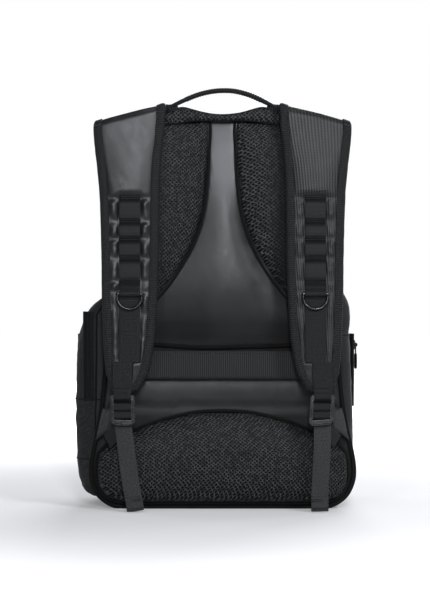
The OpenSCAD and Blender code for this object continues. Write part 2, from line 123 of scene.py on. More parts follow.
# ------------------------------------------------------------------ materials
class Mat:
    def __init__(s, name):
        s.m = bpy.data.materials.new(name)
        s.m.use_nodes = True
        s.n, s.l = s.m.node_tree.nodes, s.m.node_tree.links
        s.n.clear()
        s.out = s.n.new('ShaderNodeOutputMaterial')
        s.b = s.n.new('ShaderNodeBsdfPrincipled')
        s.l.new(s.b.outputs[0], s.out.inputs[0])

    def put(s, v, sock):
        if hasattr(v, 'is_output'):
            s.l.new(v, sock)
        else:
            sock.default_value = v

    def math(s, op, a, b=0.0, c=0.0, clamp=False):
        nd = s.n.new('ShaderNodeMath')
        nd.operation, nd.use_clamp = op, clamp
        for i, v in enumerate((a, b, c)):
            s.put(v, nd.inputs[i])
        return nd.outputs[0]

    def mul(s, a, b): return s.math('MULTIPLY', a, b)
    def add(s, a, b): return s.math('ADD', a, b)
    def sub(s, a, b): return s.math('SUBTRACT', a, b)
    def sin(s, a): return s.math('SINE', a)
    def fabs(s, a): return s.math('ABSOLUTE', a)

    def ramp(s, v, lo, hi, a=0.0, b=1.0):
        nd = s.n.new('ShaderNodeMapRange')
        nd.interpolation_type = 'SMOOTHSTEP'
        for i, x in enumerate((v, lo, hi, a, b)):
            s.put(x, nd.inputs[i])
        return nd.outputs[0]

    def coords(s, kind):
        """u, v in millimetres and the raw vector."""
        tc = s.n.new('ShaderNodeTexCoord')
        sp = s.n.new('ShaderNodeSeparateXYZ')
        if kind == 'uv':
            s.l.new(tc.outputs['UV'], sp.inputs[0])
            return s.mul(sp.outputs[0], 1000.0), s.mul(sp.outputs[1], 1000.0), tc.outputs['Object']
        s.l.new(tc.outputs['Object'], sp.inputs[0])
        x, y, z = (s.mul(sp.outputs[i], 1000.0) for i in range(3))
        return s.add(x, y), s.add(z, s.mul(y, 0.7)), tc.outputs['Object']

    def noise(s, vec, scale, detail=2.0, rough=0.5, dist=0.0):
        nd = s.n.new('ShaderNodeTexNoise')
        s.l.new(vec, nd.inputs['Vector'])
        nd.inputs['Scale'].default_value = scale
        nd.inputs['Detail'].default_value = detail
        nd.inputs['Roughness'].default_value = rough
        nd.inputs['Distortion'].default_value = dist
        return nd.outputs[0]

    def cells(s, vec, scale, rand=0.8):
        nd = s.n.new('ShaderNodeTexVoronoi')
        nd.feature = 'DISTANCE_TO_EDGE'
        s.l.new(vec, nd.inputs['Vector'])
        nd.inputs['Scale'].default_value = scale
        nd.inputs['Randomness'].default_value = rand
        return nd.outputs['Distance']

    def vec(s, x, y, z=0.0):
        nd = s.n.new('ShaderNodeCombineXYZ')
        for i, v in enumerate((x, y, z)):
            s.put(v, nd.inputs[i])
        return nd.outputs[0]

    def mix(s, f, a, b):
        nd = s.n.new('ShaderNodeMix')
        nd.data_type = 'RGBA'
        s.put(f, nd.inputs[0])
        for v, i in ((a, 6), (b, 7)):
            if hasattr(v, 'is_output'):
                s.l.new(v, nd.inputs[i])
            else:
                nd.inputs[i].default_value = (*v, 1)
        return nd.outputs[2]

    def bump(s, h, strength, dist, prev=None):
        nd = s.n.new('ShaderNodeBump')
        nd.inputs['Strength'].default_value = strength
        nd.inputs['Distance'].default_value = dist
        s.l.new(h, nd.inputs['Height'])
        if prev is not None:
            s.l.new(prev, nd.inputs['Normal'])
        return nd.outputs[0]

    def done(s, color, rough, normal=None, metallic=0.0, spec=0.5, sheen=0.0, sheen_rough=0.5, coat=0.0, coat_rough=0.2):
        s.put(color if hasattr(color, 'is_output') else (*color, 1), s.b.inputs['Base Color'])
        s.put(rough, s.b.inputs['Roughness'])
        s.b.inputs['Metallic'].default_value = metallic
        s.b.inputs['Specular IOR Level'].default_value = spec
        s.b.inputs['Sheen Weight'].default_value = sheen
        s.b.inputs['Sheen Roughness'].default_value = sheen_rough
        s.b.inputs['Coat Weight'].default_value = coat
        s.b.inputs['Coat Roughness'].default_value = coat_rough
        if normal is not None:
            s.l.new(normal, s.b.inputs['Normal'])
        return s.m

TAU = 2 * math.pi

def weave(k, u, v, pu, pv):
    """Height of a plain weave, 0..1."""
    su, sv = k.sin(k.mul(u, TAU / pu)), k.sin(k.mul(v, TAU / pv))
    return k.math('MULTIPLY_ADD', k.mul(su, sv), 0.5, 0.5)

def mat_coated(name, kind, base, lines=0.0, rough=0.40, wr=1.0, zone=False):
    """Smooth coated polyester: fine twill, soft puckers, satin highlight."""
    k = Mat(name)
    u, v, o = k.coords(kind)
    tw = k.sin(k.mul(k.add(u, k.mul(v, 0.9)), TAU / 0.9))
    h = k.math('MULTIPLY_ADD', tw, 0.5, 0.5)
    big = k.noise(o, 26.0, 3.0, 0.55, 0.4)
    mid = k.noise(o, 90.0, 2.0, 0.6)
    n = k.bump(big, 0.3 * wr, 0.0022)
    n = k.bump(mid, 0.2 * wr, 0.0005, n)
    n = k.bump(h, 0.30, 0.00012, n)
    c = k.mix(k.ramp(big, 0.3, 0.7), tuple(x * 0.86 for x in base), tuple(x * 1.14 for x in base))
    if lines:
        rip = k.math('MULTIPLY_ADD', k.sin(k.mul(k.sub(u, k.mul(v, 0.07)), TAU / 3.1)), 0.5, 0.5)
        rip2 = k.math('MULTIPLY_ADD', k.sin(k.mul(k.add(v, k.mul(u, 0.10)), TAU / 3.4)), 0.5, 0.5)
        r = k.mul(k.math('POWER', rip, 0.6), k.math('MULTIPLY_ADD', rip2, 0.32, 0.68))
        n = k.bump(r, 0.8 * lines, 0.0006, n)
        c = k.mix(r, tuple(x * 0.30 for x in base), tuple(x * (1 + 5.0 * lines) for x in base))
    rg = k.math('MULTIPLY_ADD', mid, 0.16, rough - 0.08)
    if zone:
        # painted tone, fixed to the object: a painted highlight at the neck, and painted shade with raised roughness
        # beside the crest, in the tuck above the band and behind the lumbar pad
        sp = k.n.new('ShaderNodeSeparateXYZ')
        k.l.new(o, sp.inputs[0])
        x, z = k.mul(sp.outputs[0], 1000.0), k.mul(sp.outputs[2], 1000.0)
        far = k.mul(k.ramp(k.fabs(k.sub(x, 24.0)), 14.0, 50.0), k.mul(k.ramp(z, 325.0, 218.0), k.ramp(z, 184.0, 194.0)))
        tuck = k.mul(k.ramp(z, 210.0, 197.0), k.ramp(z, 184.0, 192.0))
        painted_shade_dull = k.math('MAXIMUM', k.math('MAXIMUM', k.mul(far, 0.85), tuck), k.mul(k.ramp(z, 124.0, 110.0), 0.9))
        c = k.mix(k.ramp(z, 345.0, 440.0), c, tuple(x * 3.6 for x in base))
        c = k.mix(painted_shade_dull, c, tuple(x * 0.25 for x in base))
        rg = k.math('MULTIPLY_ADD', painted_shade_dull, 0.42, rg)
    return k.done(c, rg, n, spec=0.6 - 0.3 * lines, sheen=0.03, sheen_rough=0.4)

def mat_mesh(name, kind, base):
    """Padded spacer mesh: a knitted net of bright yarn round small dark openings, in staggered rows."""
    k = Mat(name)
    u, v, o = k.coords(kind)
    U = k.math('DIVIDE', k.math('MULTIPLY_ADD', k.noise(o, 90.0, 1.0), 1.6, u), 5.3)
    V = k.math('DIVIDE', v, 4.6)
    d = k.cells(k.vec(k.add(U, V), k.sub(U, V)), 1.0, 0.34)
    net = k.ramp(d, 0.05, 0.19, 1.0, 0.0)
    wv = k.ramp(k.noise(o, 260.0, 1.0, 0.5), 0.36, 0.62)
    lit = k.mul(net, k.math('MULTIPLY_ADD', wv, 0.65, 0.35))
    yarn = k.sin(k.mul(k.add(u, v), TAU / 0.8))
    n = k.bump(k.noise(o, 30.0, 2.0), 0.25, 0.004)
    n = k.bump(net, 1.0, 0.0011, n)
    n = k.bump(yarn, 0.12, 0.0002, n)
    c = k.mix(lit, tuple(x * 0.30 for x in base), tuple(x * 6.5 for x in base))
    if kind == 'obj':
        # painted tone, fixed to the object: darker where the straps' shadow falls in the picture
        sp = k.n.new('ShaderNodeSeparateXYZ')
        k.l.new(o, sp.inputs[0])
        x, z = k.mul(sp.outputs[0], 1000.0), k.mul(sp.outputs[2], 1000.0)
        painted_strap_shadow = k.math('MAXIMUM', k.mul(k.ramp(x, 44.0, 78.0), 0.75), k.mul(k.ramp(x, -58.0, -84.0), 0.4))
        painted_strap_shadow = k.mul(painted_strap_shadow, k.mul(k.ramp(z, 200.0, 250.0), k.ramp(z, 480.0, 460.0)))
        c = k.mix(painted_strap_shadow, c, tuple(x * 0.25 for x in base))
    return k.done(c, 0.58, n, spec=0.25, sheen=0.04, sheen_rough=0.4)

def mat_webbing(name, base, kind='uv', rib=1.6, sheen=0.05, tacks=()):
    """Flat woven webbing: weft ribs crossed by a fine warp."""
    k = Mat(name)
    u, v, o = k.coords(kind)
    ribs = k.fabs(k.sin(k.mul(v, math.pi / rib)))
    row = k.math('FLOOR', k.math('DIVIDE', v, rib))
    warp = k.sin(k.add(k.mul(u, TAU / 1.55), k.mul(row, math.pi)))
    h = k.mul(ribs, k.math('MULTIPLY_ADD', warp, 0.25, 0.75))
    n = k.bump(k.noise(o, 40.0, 2.0), 0.25, 0.003)
    n = k.bump(h, 0.7, 0.00045, n)
    dirt = k.noise(o, 150.0, 3.0, 0.6)
    fib = k.ramp(k.noise(k.vec(k.mul(u, 0.55), k.mul(v, 1.1)), 1.0, 2.0, 0.6), 0.38, 0.62)
    c = k.mix(h, tuple(x * 0.35 for x in base), tuple(x * 1.5 for x in base))
    c = k.mix(k.mul(fib, 0.6), c, tuple(x * 3.2 for x in base))
    if tacks:
        # painted tone, fixed to the object: painted shade where each loop is sewn down, and a painted highlight on its
        # crown
        sp = k.n.new('ShaderNodeSeparateXYZ')
        k.l.new(o, sp.inputs[0])
        z = k.mul(sp.outputs[2], 1000.0)
        tack_shade = k.math('MAXIMUM', *[k.ramp(k.fabs(k.sub(z, t)), 6.5, 2.0) for t in tacks[:2]])
        for t in tacks[2:]:
            tack_shade = k.math('MAXIMUM', tack_shade, k.ramp(k.fabs(k.sub(z, t)), 6.5, 2.0))
        crown = k.mul(k.ramp(z, 268.0, 280.0), k.math('MULTIPLY_ADD', tack_shade, -1.0, 1.0))
        c = k.mix(k.mul(crown, 0.35), c, tuple(x * 3.4 for x in base))
        c = k.mix(k.mul(tack_shade, 0.85), c, tuple(x * 0.12 for x in base))
    return k.done(c, k.math('MULTIPLY_ADD', dirt, 0.15, 0.56), n, spec=0.3, sheen=sheen, sheen_rough=0.35)

def mat_tape(name, base, rib=2.6):
    """Grosgrain binding tape: cross ribs with a small diagonal twill."""
    k = Mat(name)
    u, v, o = k.coords('uv')
    r1 = k.sin(k.mul(k.add(v, k.mul(k.fabs(k.sub(k.math('FRACT', k.math('DIVIDE', u, 3.2)), 0.5)), 2.4)), TAU / rib))
    h = k.math('MULTIPLY_ADD', r1, 0.5, 0.5)
    n = k.bump(k.noise(o, 70.0, 2.0), 0.35, 0.0018)
    n = k.bump(h, 0.9, 0.0006, n)
    fib = k.ramp(k.noise(k.vec(k.mul(u, 0.5), k.mul(v, 0.9)), 1.0, 2.0, 0.6), 0.36, 0.62)
    c = k.mix(k.mul(h, k.math('MULTIPLY_ADD', fib, 0.7, 0.4)), tuple(x * 0.35 for x in base), tuple(x * 5.0 for x in base))
    return k.done(c, 0.62, n, spec=0.3, sheen=0.04, sheen_rough=0.4)

def mat_woven(name, kind, base, grid=0.0):
    """Matt heathered weave for the pockets and walls, with an optional ripstop grid."""
    k = Mat(name)
    u, v, o = k.coords(kind)
    wob = k.noise(o, 220.0, 2.0)
    h = weave(k, k.add(u, wob), k.add(v, wob), 1.7, 1.5)
    slub = k.noise(k.vec(k.mul(u, 0.12), k.mul(v, 0.9)), 3.0, 3.0, 0.65)
    slub2 = k.noise(k.vec(k.mul(u, 0.9), k.mul(v, 0.12)), 3.0, 3.0, 0.65)
    n = k.bump(k.noise(o, 22.0, 3.0, 0.55, 0.5), 0.4, 0.007)
    n = k.bump(h, 0.5, 0.0003, n)
    c = k.mix(h, tuple(x * 0.6 for x in base), tuple(x * 1.25 for x in base))
    c = k.mix(k.mul(k.ramp(k.add(slub, slub2), 0.95, 1.25), 0.8), c, tuple(x * 3.0 for x in base))
    if grid:
        gu = k.ramp(k.fabs(k.sub(k.math('FRACT', k.math('DIVIDE', u, 6.0)), 0.5)), 0.44, 0.49)
        gv = k.ramp(k.fabs(k.sub(k.math('FRACT', k.math('DIVIDE', v, 6.0)), 0.5)), 0.44, 0.49)
        g = k.math('MAXIMUM', gu, gv)
        n = k.bump(g, 0.5 * grid, 0.0004, n)
        c = k.mix(k.mul(g, 0.5 * grid), c, tuple(x * 1.9 for x in base))
    return k.done(c, k.math('MULTIPLY_ADD', slub, 0.18, 0.56), n, spec=0.4, sheen=0.08, sheen_rough=0.4)

def mat_rib(name, base):
    """Ribbed elastic with cords running up the band."""
    k = Mat(name)
    u, v, o = k.coords('uv')
    r = k.fabs(k.sin(k.mul(u, math.pi / 2.3)))
    cross = k.sin(k.mul(v, TAU / 0.9))
    h = k.add(k.math('POWER', r, 0.7), k.mul(cross, 0.08))
    n = k.bump(h, 0.85, 0.0007)
    c = k.mix(r, tuple(x * 0.35 for x in base), tuple(x * 1.5 for x in base))
    return k.done(c, 0.66, n, spec=0.35, sheen=0.10, sheen_rough=0.4)

def mat_plastic(name, base, rough=0.42, grain=1.0):
    k = Mat(name)
    u, v, o = k.coords('obj')
    g = k.noise(o, 900.0, 2.0, 0.6)
    big = k.noise(o, 120.0, 2.0)
    n = k.bump(g, 0.25 * grain, 0.00012)
    c = k.mix(k.ramp(big, 0.3, 0.75), tuple(x * 0.85 for x in base), tuple(x * 1.25 for x in base))
    geo = k.n.new('ShaderNodeNewGeometry')
    # paler on sharp convex edges: a painted rim highlight
    rim_highlight = k.ramp(geo.outputs['Pointiness'], 0.53, 0.62)
    c = k.mix(k.mul(rim_highlight, 0.5), c, tuple(min(1, x * 4) for x in base))
    return k.done(c, k.math('MULTIPLY_ADD', big, 0.16, rough - 0.08), n, spec=0.5)

def mat_metal(name, base, rough=0.3):
    k = Mat(name)
    u, v, o = k.coords('obj')
    g = k.noise(o, 500.0, 3.0, 0.6)
    n = k.bump(g, 0.12, 0.00015)
    c = k.mix(k.ramp(g, 0.3, 0.8), tuple(x * 0.8 for x in base), tuple(min(1, x * 1.3) for x in base))
    return k.done(c, k.math('MULTIPLY_ADD', g, 0.18, rough - 0.06), n, metallic=0.75, spec=0.5, coat=0.3, coat_rough=0.25)

def mat_thread(name, base):
    k = Mat(name)
    u, v, o = k.coords('uv')
    tw = k.sin(k.mul(k.add(u, v), TAU / 0.5))
    n = k.bump(tw, 0.5, 0.0001)
    c = k.mix(k.math('MULTIPLY_ADD', tw, 0.5, 0.5), tuple(x * 0.7 for x in base), tuple(x * 1.3 for x in base))
    return k.done(c, 0.5, n, spec=0.5, sheen=0.2, sheen_rough=0.3)

G = lambda v, t=0.0: (v * (1 - t), v, v * (1 + t * 1.6))
M = {
    'coat_l': mat_coated('coated_left', 'uv', G(0.020, 0.02), 0.0, 0.40),
    'coat_r': mat_coated('coated_right', 'uv', G(0.013, 0.02), 0.5, 0.44, 0.7),
    'panel': mat_coated('panel_fabric', 'obj', G(0.019, 0.02), 0.0, 0.35, 0.16, True),
    'boot': mat_coated('boot_fabric', 'obj', G(0.012, 0.02), 0.0, 0.46),
    'mesh': mat_mesh('air_mesh', 'obj', G(0.020, 0.03)),
    'mesh_uv': mat_mesh('air_mesh_lining', 'uv', G(0.019, 0.03)),
    'web': mat_webbing('webbing', G(0.013, 0.02)),
    'web_tail': mat_webbing('tail_webbing', G(0.032, 0.02)),
    'web_loop': mat_webbing('loop_webbing', G(0.013, 0.02), tacks=(375.0, 346.5, 325.0, 302.0, 274.0)),
    'web_h': mat_webbing('handle_webbing', G(0.012, 0.02), rib=1.6),
    'tape': mat_tape('binding_tape', G(0.012, 0.02)),
    'piping': mat_tape('piping_tape', G(0.004, 0.02), 2.0),
    'ziptape': mat_tape('zip_tape', G(0.006, 0.0), 1.6),
    'woven': mat_woven('pocket_weave', 'obj', G(0.020, 0.02)),
    'wing': mat_woven('wing_weave', 'obj', G(0.036, 0.02)),
    'ripstop': mat_woven('shell_weave', 'obj', G(0.012, 0.02), 0.5),
    'lining': mat_woven('lining_weave', 'obj', G(0.060, 0.02)),
    'rib': mat_rib('ribbed_elastic', G(0.034, 0.02)),
    'plastic': mat_plastic('buckle_plastic', G(0.030, 0.02), 0.27),
    'skid': mat_plastic('skid_plastic', G(0.020, 0.0), 0.55, 2.0),
    'sheetp': mat_plastic('frame_sheet_plastic', G(0.05, 0.0), 0.5, 1.5),
    'ring': mat_metal('ring_metal', G(0.045, 0.01), 0.24),
    'zipper': mat_metal('zip_teeth', G(0.045, 0.0), 0.38),
    'slider': mat_metal('slider_metal', G(0.030, 0.0), 0.36),
    'pull': mat_plastic('pull_rubber', G(0.018, 0.0), 0.5),
    'thread': mat_thread('thread', G(0.030, 0.02)),
}

# ------------------------------------------------------------------ mesh helpers (millimetres)
def mk(name, V, F, mat, body, uv=None, smooth=True, rep=(), recalc=True):
    """uv: one (u, v) in mm for each face corner, in face order."""
    me = bpy.data.meshes.new(name)
    me.from_pydata((np.asarray(V, float) * MM).tolist(), [], [list(map(int, f)) for f in F])
    if uv is not None:
        lay = me.uv_layers.new(name="UVMap")
        lay.data.foreach_set("uv", (np.asarray(uv, float) * MM).ravel())
    if recalc:
        bm = bmesh.new()
        bm.from_mesh(me)
        bmesh.ops.recalc_face_normals(bm, faces=bm.faces)
        bm.to_mesh(me)
        bm.free()
    me.update()
    for p in me.polygons:
        p.use_smooth = smooth
    me.materials.append(M[mat] if isinstance(mat, str) else mat)
    ob = bpy.data.objects.new(name, me)
    scene.collection.objects.link(ob)
    if body:
        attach(ob, body)
    if rep:
        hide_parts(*rep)
    return ob

def loft(R, wrap=True, caps=True, uoff=0.0):
    """V, F, UV of a loft through rings R[m][n]."""
    R = np.asarray(R, float)
    m, n = R.shape[:2]
    V = R.reshape(-1, 3)
    nx = n if wrap else n - 1
    seg = np.linalg.norm(np.roll(R, -1, 1) - R, axis=2)
    U = np.concatenate([np.zeros((m, 1)), np.cumsum(seg, 1)], 1)
    U = np.repeat(U.mean(0)[None], m, 0) + uoff
    al = np.linalg.norm(np.diff(R, axis=0), axis=2).mean(1)
    T = np.concatenate([[0], np.cumsum(al)])
    F, UV = [], []
    for j in range(m - 1):
        for i in range(nx):
            a, b = j * n + i, j * n + (i + 1) % n
            F.append((a, b, b + n, a + n))
            UV += [(U[j, i], T[j]), (U[j, i + 1], T[j]), (U[j, i + 1], T[j + 1]), (U[j, i], T[j + 1])]
    if caps and wrap:
        for j, o in ((0, -1), (m - 1, 1)):
            c = len(V)
            V = np.vstack([V, R[j].mean(0)[None]])
            for i in range(n):
                a, b = j * n + i, j * n + (i + 1) % n
                f = (c, b, a) if o < 0 else (c, a, b)
                F.append(f)
                for q in f:
                    p = V[q]
                    UV.append((p[0], p[2] + p[1]))
    return V, F, UV

def join(parts):
    V, F, UV, k = [], [], [], 0
    for v, f, uv in parts:
        V.append(np.asarray(v, float)); F += [tuple(i + k for i in q) for q in f]; UV += list(uv)
        k += len(v)
    return np.vstack(V), F, UV

def cr(P, n):
    """Catmull-Rom through the points, n samples a span."""
    P = np.asarray(P, float)
    Q = np.vstack([P[0], P, P[-1]])
    out = []
    for i in range(len(P) - 1):
        a, b, c, d = Q[i], Q[i + 1], Q[i + 2], Q[i + 3]
        for t in np.linspace(0, 1, n, endpoint=False):
            out.append(0.5 * (2 * b + (c - a) * t + (2 * a - 5 * b + 4 * c - d) * t * t + (3 * b - a - 3 * c + d) * t ** 3))
    out.append(P[-1])
    return np.array(out)

def cr_closed(P, n):
    P = np.asarray(P, float)
    m, out = len(P), []
    for i in range(m):
        a, b, c, d = P[i - 1], P[i], P[(i + 1) % m], P[(i + 2) % m]
        for t in np.linspace(0, 1, n, endpoint=False):
            out.append(0.5 * (2 * b + (c - a) * t + (2 * a - 5 * b + 4 * c - d) * t * t + (3 * b - a - 3 * c + d) * t ** 3))
    return np.array(out)

def resample(P, n, closed=False):
    P = np.asarray(P, float)
    if closed:
        P = np.vstack([P, P[:1]])
    s = np.concatenate([[0], np.cumsum(np.linalg.norm(np.diff(P, axis=0), axis=1))])
    t = np.linspace(0, s[-1], n + 1 if closed else n)
    out = np.stack([np.interp(t, s, P[:, k]) for k in range(P.shape[1])], 1)
    return out[:-1] if closed else out

def frames(P, up):
    """Tangent, side and normal along a path; up is the wanted normal at each point."""
    P = np.asarray(P, float)
    T = np.gradient(P, axis=0)
    T /= np.linalg.norm(T, axis=1)[:, None] + 1e-12
    N = np.broadcast_to(np.asarray(up, float), P.shape).copy()
    N -= (N * T).sum(1)[:, None] * T
    N /= np.linalg.norm(N, axis=1)[:, None] + 1e-12
    return T, np.cross(T, N), N

RIB = np.array([(-1, -.35), (-.985, -.8), (-.93, -1), (-.5, -1), (0, -1), (.5, -1), (.93, -1), (.985, -.8), (1, -.35),
                (1, .35), (.985, .8), (.93, 1), (.5, 1), (0, 1), (-.5, 1), (-.93, 1), (-.985, .8), (-1, .35)])

def ribbon(P, up, w, t, S=None):
    """Flat strip along P: half-width w, half-thickness t (numbers or one for each point)."""
    P = np.asarray(P, float)
    T, B, N = frames(P, up)
    if S is not None:
        B = np.broadcast_to(np.asarray(S, float), P.shape)
        B = B / np.linalg.norm(B, axis=1)[:, None]
        N = np.cross(B, T)
    w = np.broadcast_to(w, len(P))[:, None, None]
    t = np.broadcast_to(t, len(P))[:, None, None]
    return P[:, None] + B[:, None] * (RIB[None, :, :1] * w) + N[:, None] * (RIB[None, :, 1:] * t)

def tube(P, r, n=10, up=(0, 0, 1), closed=False, sx=1.0, sy=1.0):
    P = np.asarray(P, float)
    if closed:
        T = np.roll(P, -1, 0) - np.roll(P, 1, 0)
        T /= np.linalg.norm(T, axis=1)[:, None] + 1e-12
        N = np.broadcast_to(np.asarray(up, float), P.shape).copy()
        N -= (N * T).sum(1)[:, None] * T
        N /= np.linalg.norm(N, axis=1)[:, None] + 1e-12
        B = np.cross(T, N)
    else:
        T, B, N = frames(P, up)
    a = np.linspace(0, TAU, n, endpoint=False)
    r = np.broadcast_to(r, len(P))[:, None, None]
    R = P[:, None] + B[:, None] * (np.cos(a)[None, :, None] * r * sx) + N[:, None] * (np.sin(a)[None, :, None] * r * sy)
    if closed:
        R = np.concatenate([R, R[:1]], 0)
        V, F, UV = loft(R, True, False)
        m = len(R) - 1
        F = [tuple(i if i < m * n else i - m * n for i in f) for f in F]
        return V[: m * n], F, UV
    return loft(R)

def stitch_parts(P, up, pitch=3.6, length=2.5, r=0.33, lift=0.15, skip=0.0):
    """Separate thread stitches lying along a path."""
    P = np.asarray(P, float)
    L = np.concatenate([[0], np.cumsum(np.linalg.norm(np.diff(P, axis=0), axis=1))])
    up = np.broadcast_to(np.asarray(up, float), P.shape)
    out = []
    s = skip + pitch / 2
    f = lambda q: (np.array([np.interp(q, L, P[:, k]) for k in range(3)]), np.array([np.interp(q, L, up[:, k]) for k in range(3)]))
    while s + length / 2 < L[-1]:
        a, _ = f(s - length / 2)
        c, n = f(s)
        b, _ = f(s + length / 2)
        n = n / (np.linalg.norm(n) + 1e-9)
        t = (b - a) / (np.linalg.norm(b - a) + 1e-9)
        w = np.cross(t, n)
        pts = [a - n * r * 0.9, a + (c - a) * 0.35 + n * lift, c + n * (lift + 0.1), b + (c - b) * 0.35 + n * lift, b - n * r * 0.9]
        rr = [r * 0.45, r, r, r, r * 0.45]
        ang = np.linspace(0, TAU, 5, endpoint=False)
        R = [p + np.outer(np.cos(ang), w) * q + np.outer(np.sin(ang), n) * q for p, q in zip(pts, rr)]
        out.append(loft(np.array(R)))
        s += pitch
    return out

def fold_noise(P, scale, seed=0, oct=2):
    """Smooth noise at each point, about -1..1."""
    out = np.empty(len(P))
    off = Vector((seed * 13.7, seed * 5.1, seed * 9.3))
    for i, p in enumerate(P):
        q = Vector((float(p[0]), float(p[1]), float(p[2]))) / scale + off
        out[i] = mnoise.fractal(q, 0.6, 2.0, oct, noise_basis='PERLIN_ORIGINAL')
    return out

def normals_of(ob):
    ob.data.update()
    n = np.zeros(len(ob.data.vertices) * 3)
    ob.data.vertex_normals.foreach_get("vector", n)
    return n.reshape(-1, 3)

def get_co(ob):
    c = np.zeros(len(ob.data.vertices) * 3)
    ob.data.vertices.foreach_get("co", c)
    return c.reshape(-1, 3) / MM

def set_co(ob, c):
    ob.data.vertices.foreach_set("co", (c * MM).ravel())
    ob.data.update()

def apply_mods(ob):
    dg = bpy.context.evaluated_depsgraph_get()
    dg.update()
    me = bpy.data.meshes.new_from_object(ob.evaluated_get(dg), depsgraph=dg)
    ob.modifiers.clear()
    old = ob.data
    ob.data = me
    bpy.data.meshes.remove(old)
    for p in ob.data.polygons:
        p.use_smooth = True
    return ob

def subdiv(ob, n=1):
    m = ob.modifiers.new("sub", 'SUBSURF')
    m.levels = m.render_levels = n
    return apply_mods(ob)

def inflate(ob, voxel, pressure, cap, pin, shrink=0.0, frames_n=20, stiff=12.0):
    """Cloth simulation: voxel remesh, pressure, capped movement, applied. pin: function of points (mm) -> 0..1 weights."""
    mat = ob.data.materials[0]
    m = ob.modifiers.new("rm", 'REMESH')
    m.mode, m.voxel_size = 'VOXEL', voxel * MM
    apply_mods(ob)
    rest = get_co(ob)
    w = pin(rest)
    vg = ob.vertex_groups.new(name="pin")
    for i in np.nonzero(w > 0.01)[0]:
        vg.add([int(i)], float(w[i]), 'REPLACE')
    par, ob.parent = ob.parent, None
    cl = ob.modifiers.new("cloth", 'CLOTH')
    s = cl.settings
    s.quality = 5
    s.mass = 0.2
    s.tension_stiffness = s.compression_stiffness = stiff
    s.shear_stiffness = stiff * 0.6
    s.bending_stiffness = 0.4
    s.tension_damping = s.compression_damping = s.shear_damping = 8
    s.air_damping = 3
    s.use_pressure = True
    s.uniform_pressure_force = pressure
    s.shrink_min = shrink
    s.vertex_group_mass = "pin"
    s.effector_weights.gravity = 0
    cl.collision_settings.use_collision = False
    cl.collision_settings.use_self_collision = False
    cl.point_cache.frame_start, cl.point_cache.frame_end = 1, frames_n + 1
    for f in range(1, frames_n + 1):
        scene.frame_set(f)
    dg = bpy.context.evaluated_depsgraph_get()
    ev = ob.evaluated_get(dg)
    co = np.zeros(len(ev.data.vertices) * 3)
    ev.data.vertices.foreach_get("co", co)
    co = co.reshape(-1, 3) / MM
    ob.modifiers.clear()
    ob.vertex_groups.clear()
    scene.frame_set(1)
    d = co - rest
    ln = np.linalg.norm(d, axis=1)
    d *= (np.minimum(ln, cap) / np.maximum(ln, 1e-9))[:, None]
    set_co(ob, rest + d)
    sm = ob.modifiers.new("sm", 'SMOOTH'); sm.iterations = 2; sm.factor = 0.4
    apply_mods(ob)
    ob.parent = par
    ob.data.materials.clear(); ob.data.materials.append(mat)
    return ob

# ------------------------------------------------------------------ body outline, as the CAD's
half_body = cr([[0, 2], [60, 2], [100, 2], [116, 2.4], [134, 6], [149, 17], [157, 34], [158, 52], [154, 76], [148, 105], [143, 140], [140, 180], [139, 240], [139, 320], [138, 380], [135, 415], [126, 441], [108, 457], [84, 462], [40, 463], [0, 463]], 8)
half_body[:, 1] = np.maximum(half_body[:, 1], 2)
def wall_x(z): return np.interp(z, half_body[72:, 1][half_body[72:, 0] > 60], half_body[72:, 0][half_body[72:, 0] > 60]) if np.ndim(z) else float(np.interp(z, half_body[56:130, 1], half_body[56:130, 0]))
full_body = np.vstack([half_body[:-1], (half_body * [-1, 1])[::-1][:-1]])
LEAN = math.radians(3.5)

HB = half_body[24:129]
def wall_x(z):
    return np.interp(z, HB[:, 1], HB[:, 0])

half_back = cr([[0, 2], [60, 2], [100, 2], [116, 2.4], [134, 6], [149, 17], [157, 34], [158, 52], [154, 76], [148, 105], [143, 140], [140, 180], [139, 240], [139, 320], [138, 380], [136, 412], [131, 434], [122, 449], [106, 460.5], [88, 466.5], [72, 471], [62, 474], [48, 472], [34, 466.5], [18, 463], [0, 462]], 8)
half_back[:, 1] = np.maximum(half_back[:, 1], 2)
full_back = np.vstack([half_back[:-1], (half_back * [-1, 1])[::-1][:-1]])

def smooth(x, a, b):
    t = np.clip((np.asarray(x, float) - a) / (b - a), 0, 1)
    return t * t * (3 - 2 * t)

def outline_normals(P):
    T = np.roll(P, -1, 0) - np.roll(P, 1, 0)
    T /= np.linalg.norm(T, axis=1)[:, None] + 1e-12
    return np.stack([T[:, 1], -T[:, 0]], 1)

def solidify(ob, t, bevel=0.0):
    m = ob.modifiers.new("solid", 'SOLIDIFY')
    m.thickness, m.offset = t * MM, -1
    m.use_even_offset = False
    if bevel:
        b = ob.modifiers.new("bev", 'BEVEL')
        b.width, b.segments, b.limit_method, b.angle_limit = bevel * MM, 2, 'ANGLE', 1.0
    return apply_mods(ob)

def cut(ob, cuts):
    """Keeps the part of a mesh on the inner side of each plane (point mm, outward normal)."""
    bm = bmesh.new()
    bm.from_mesh(ob.data)
    for co, no in cuts:
        bmesh.ops.bisect_plane(bm, geom=bm.verts[:] + bm.edges[:] + bm.faces[:], plane_co=Vector(co) * MM, plane_no=Vector(no), clear_outer=True, dist=1e-6)
    bm.to_mesh(ob.data)
    bm.free()
    ob.data.update()
    return ob

def stitches(name, runs, body, mat='thread', slot='trim_tape', **kw):
    parts = []
    for P, up in runs:
        parts += stitch_parts(P, up, **kw)
    if not parts:
        return None
    V, F, UV = join(parts)
    return mk(name, V, F, mat, body, UV, recalc=False)

def bar_line(name, runs, body, r=0.5, mat='thread', slot='webbing'):
    """Dense bar tacks: short thick stitches side by side along each run."""
    return stitches(name, runs, body, mat, slot, pitch=1.25, length=1.35, r=r, lift=0.2)

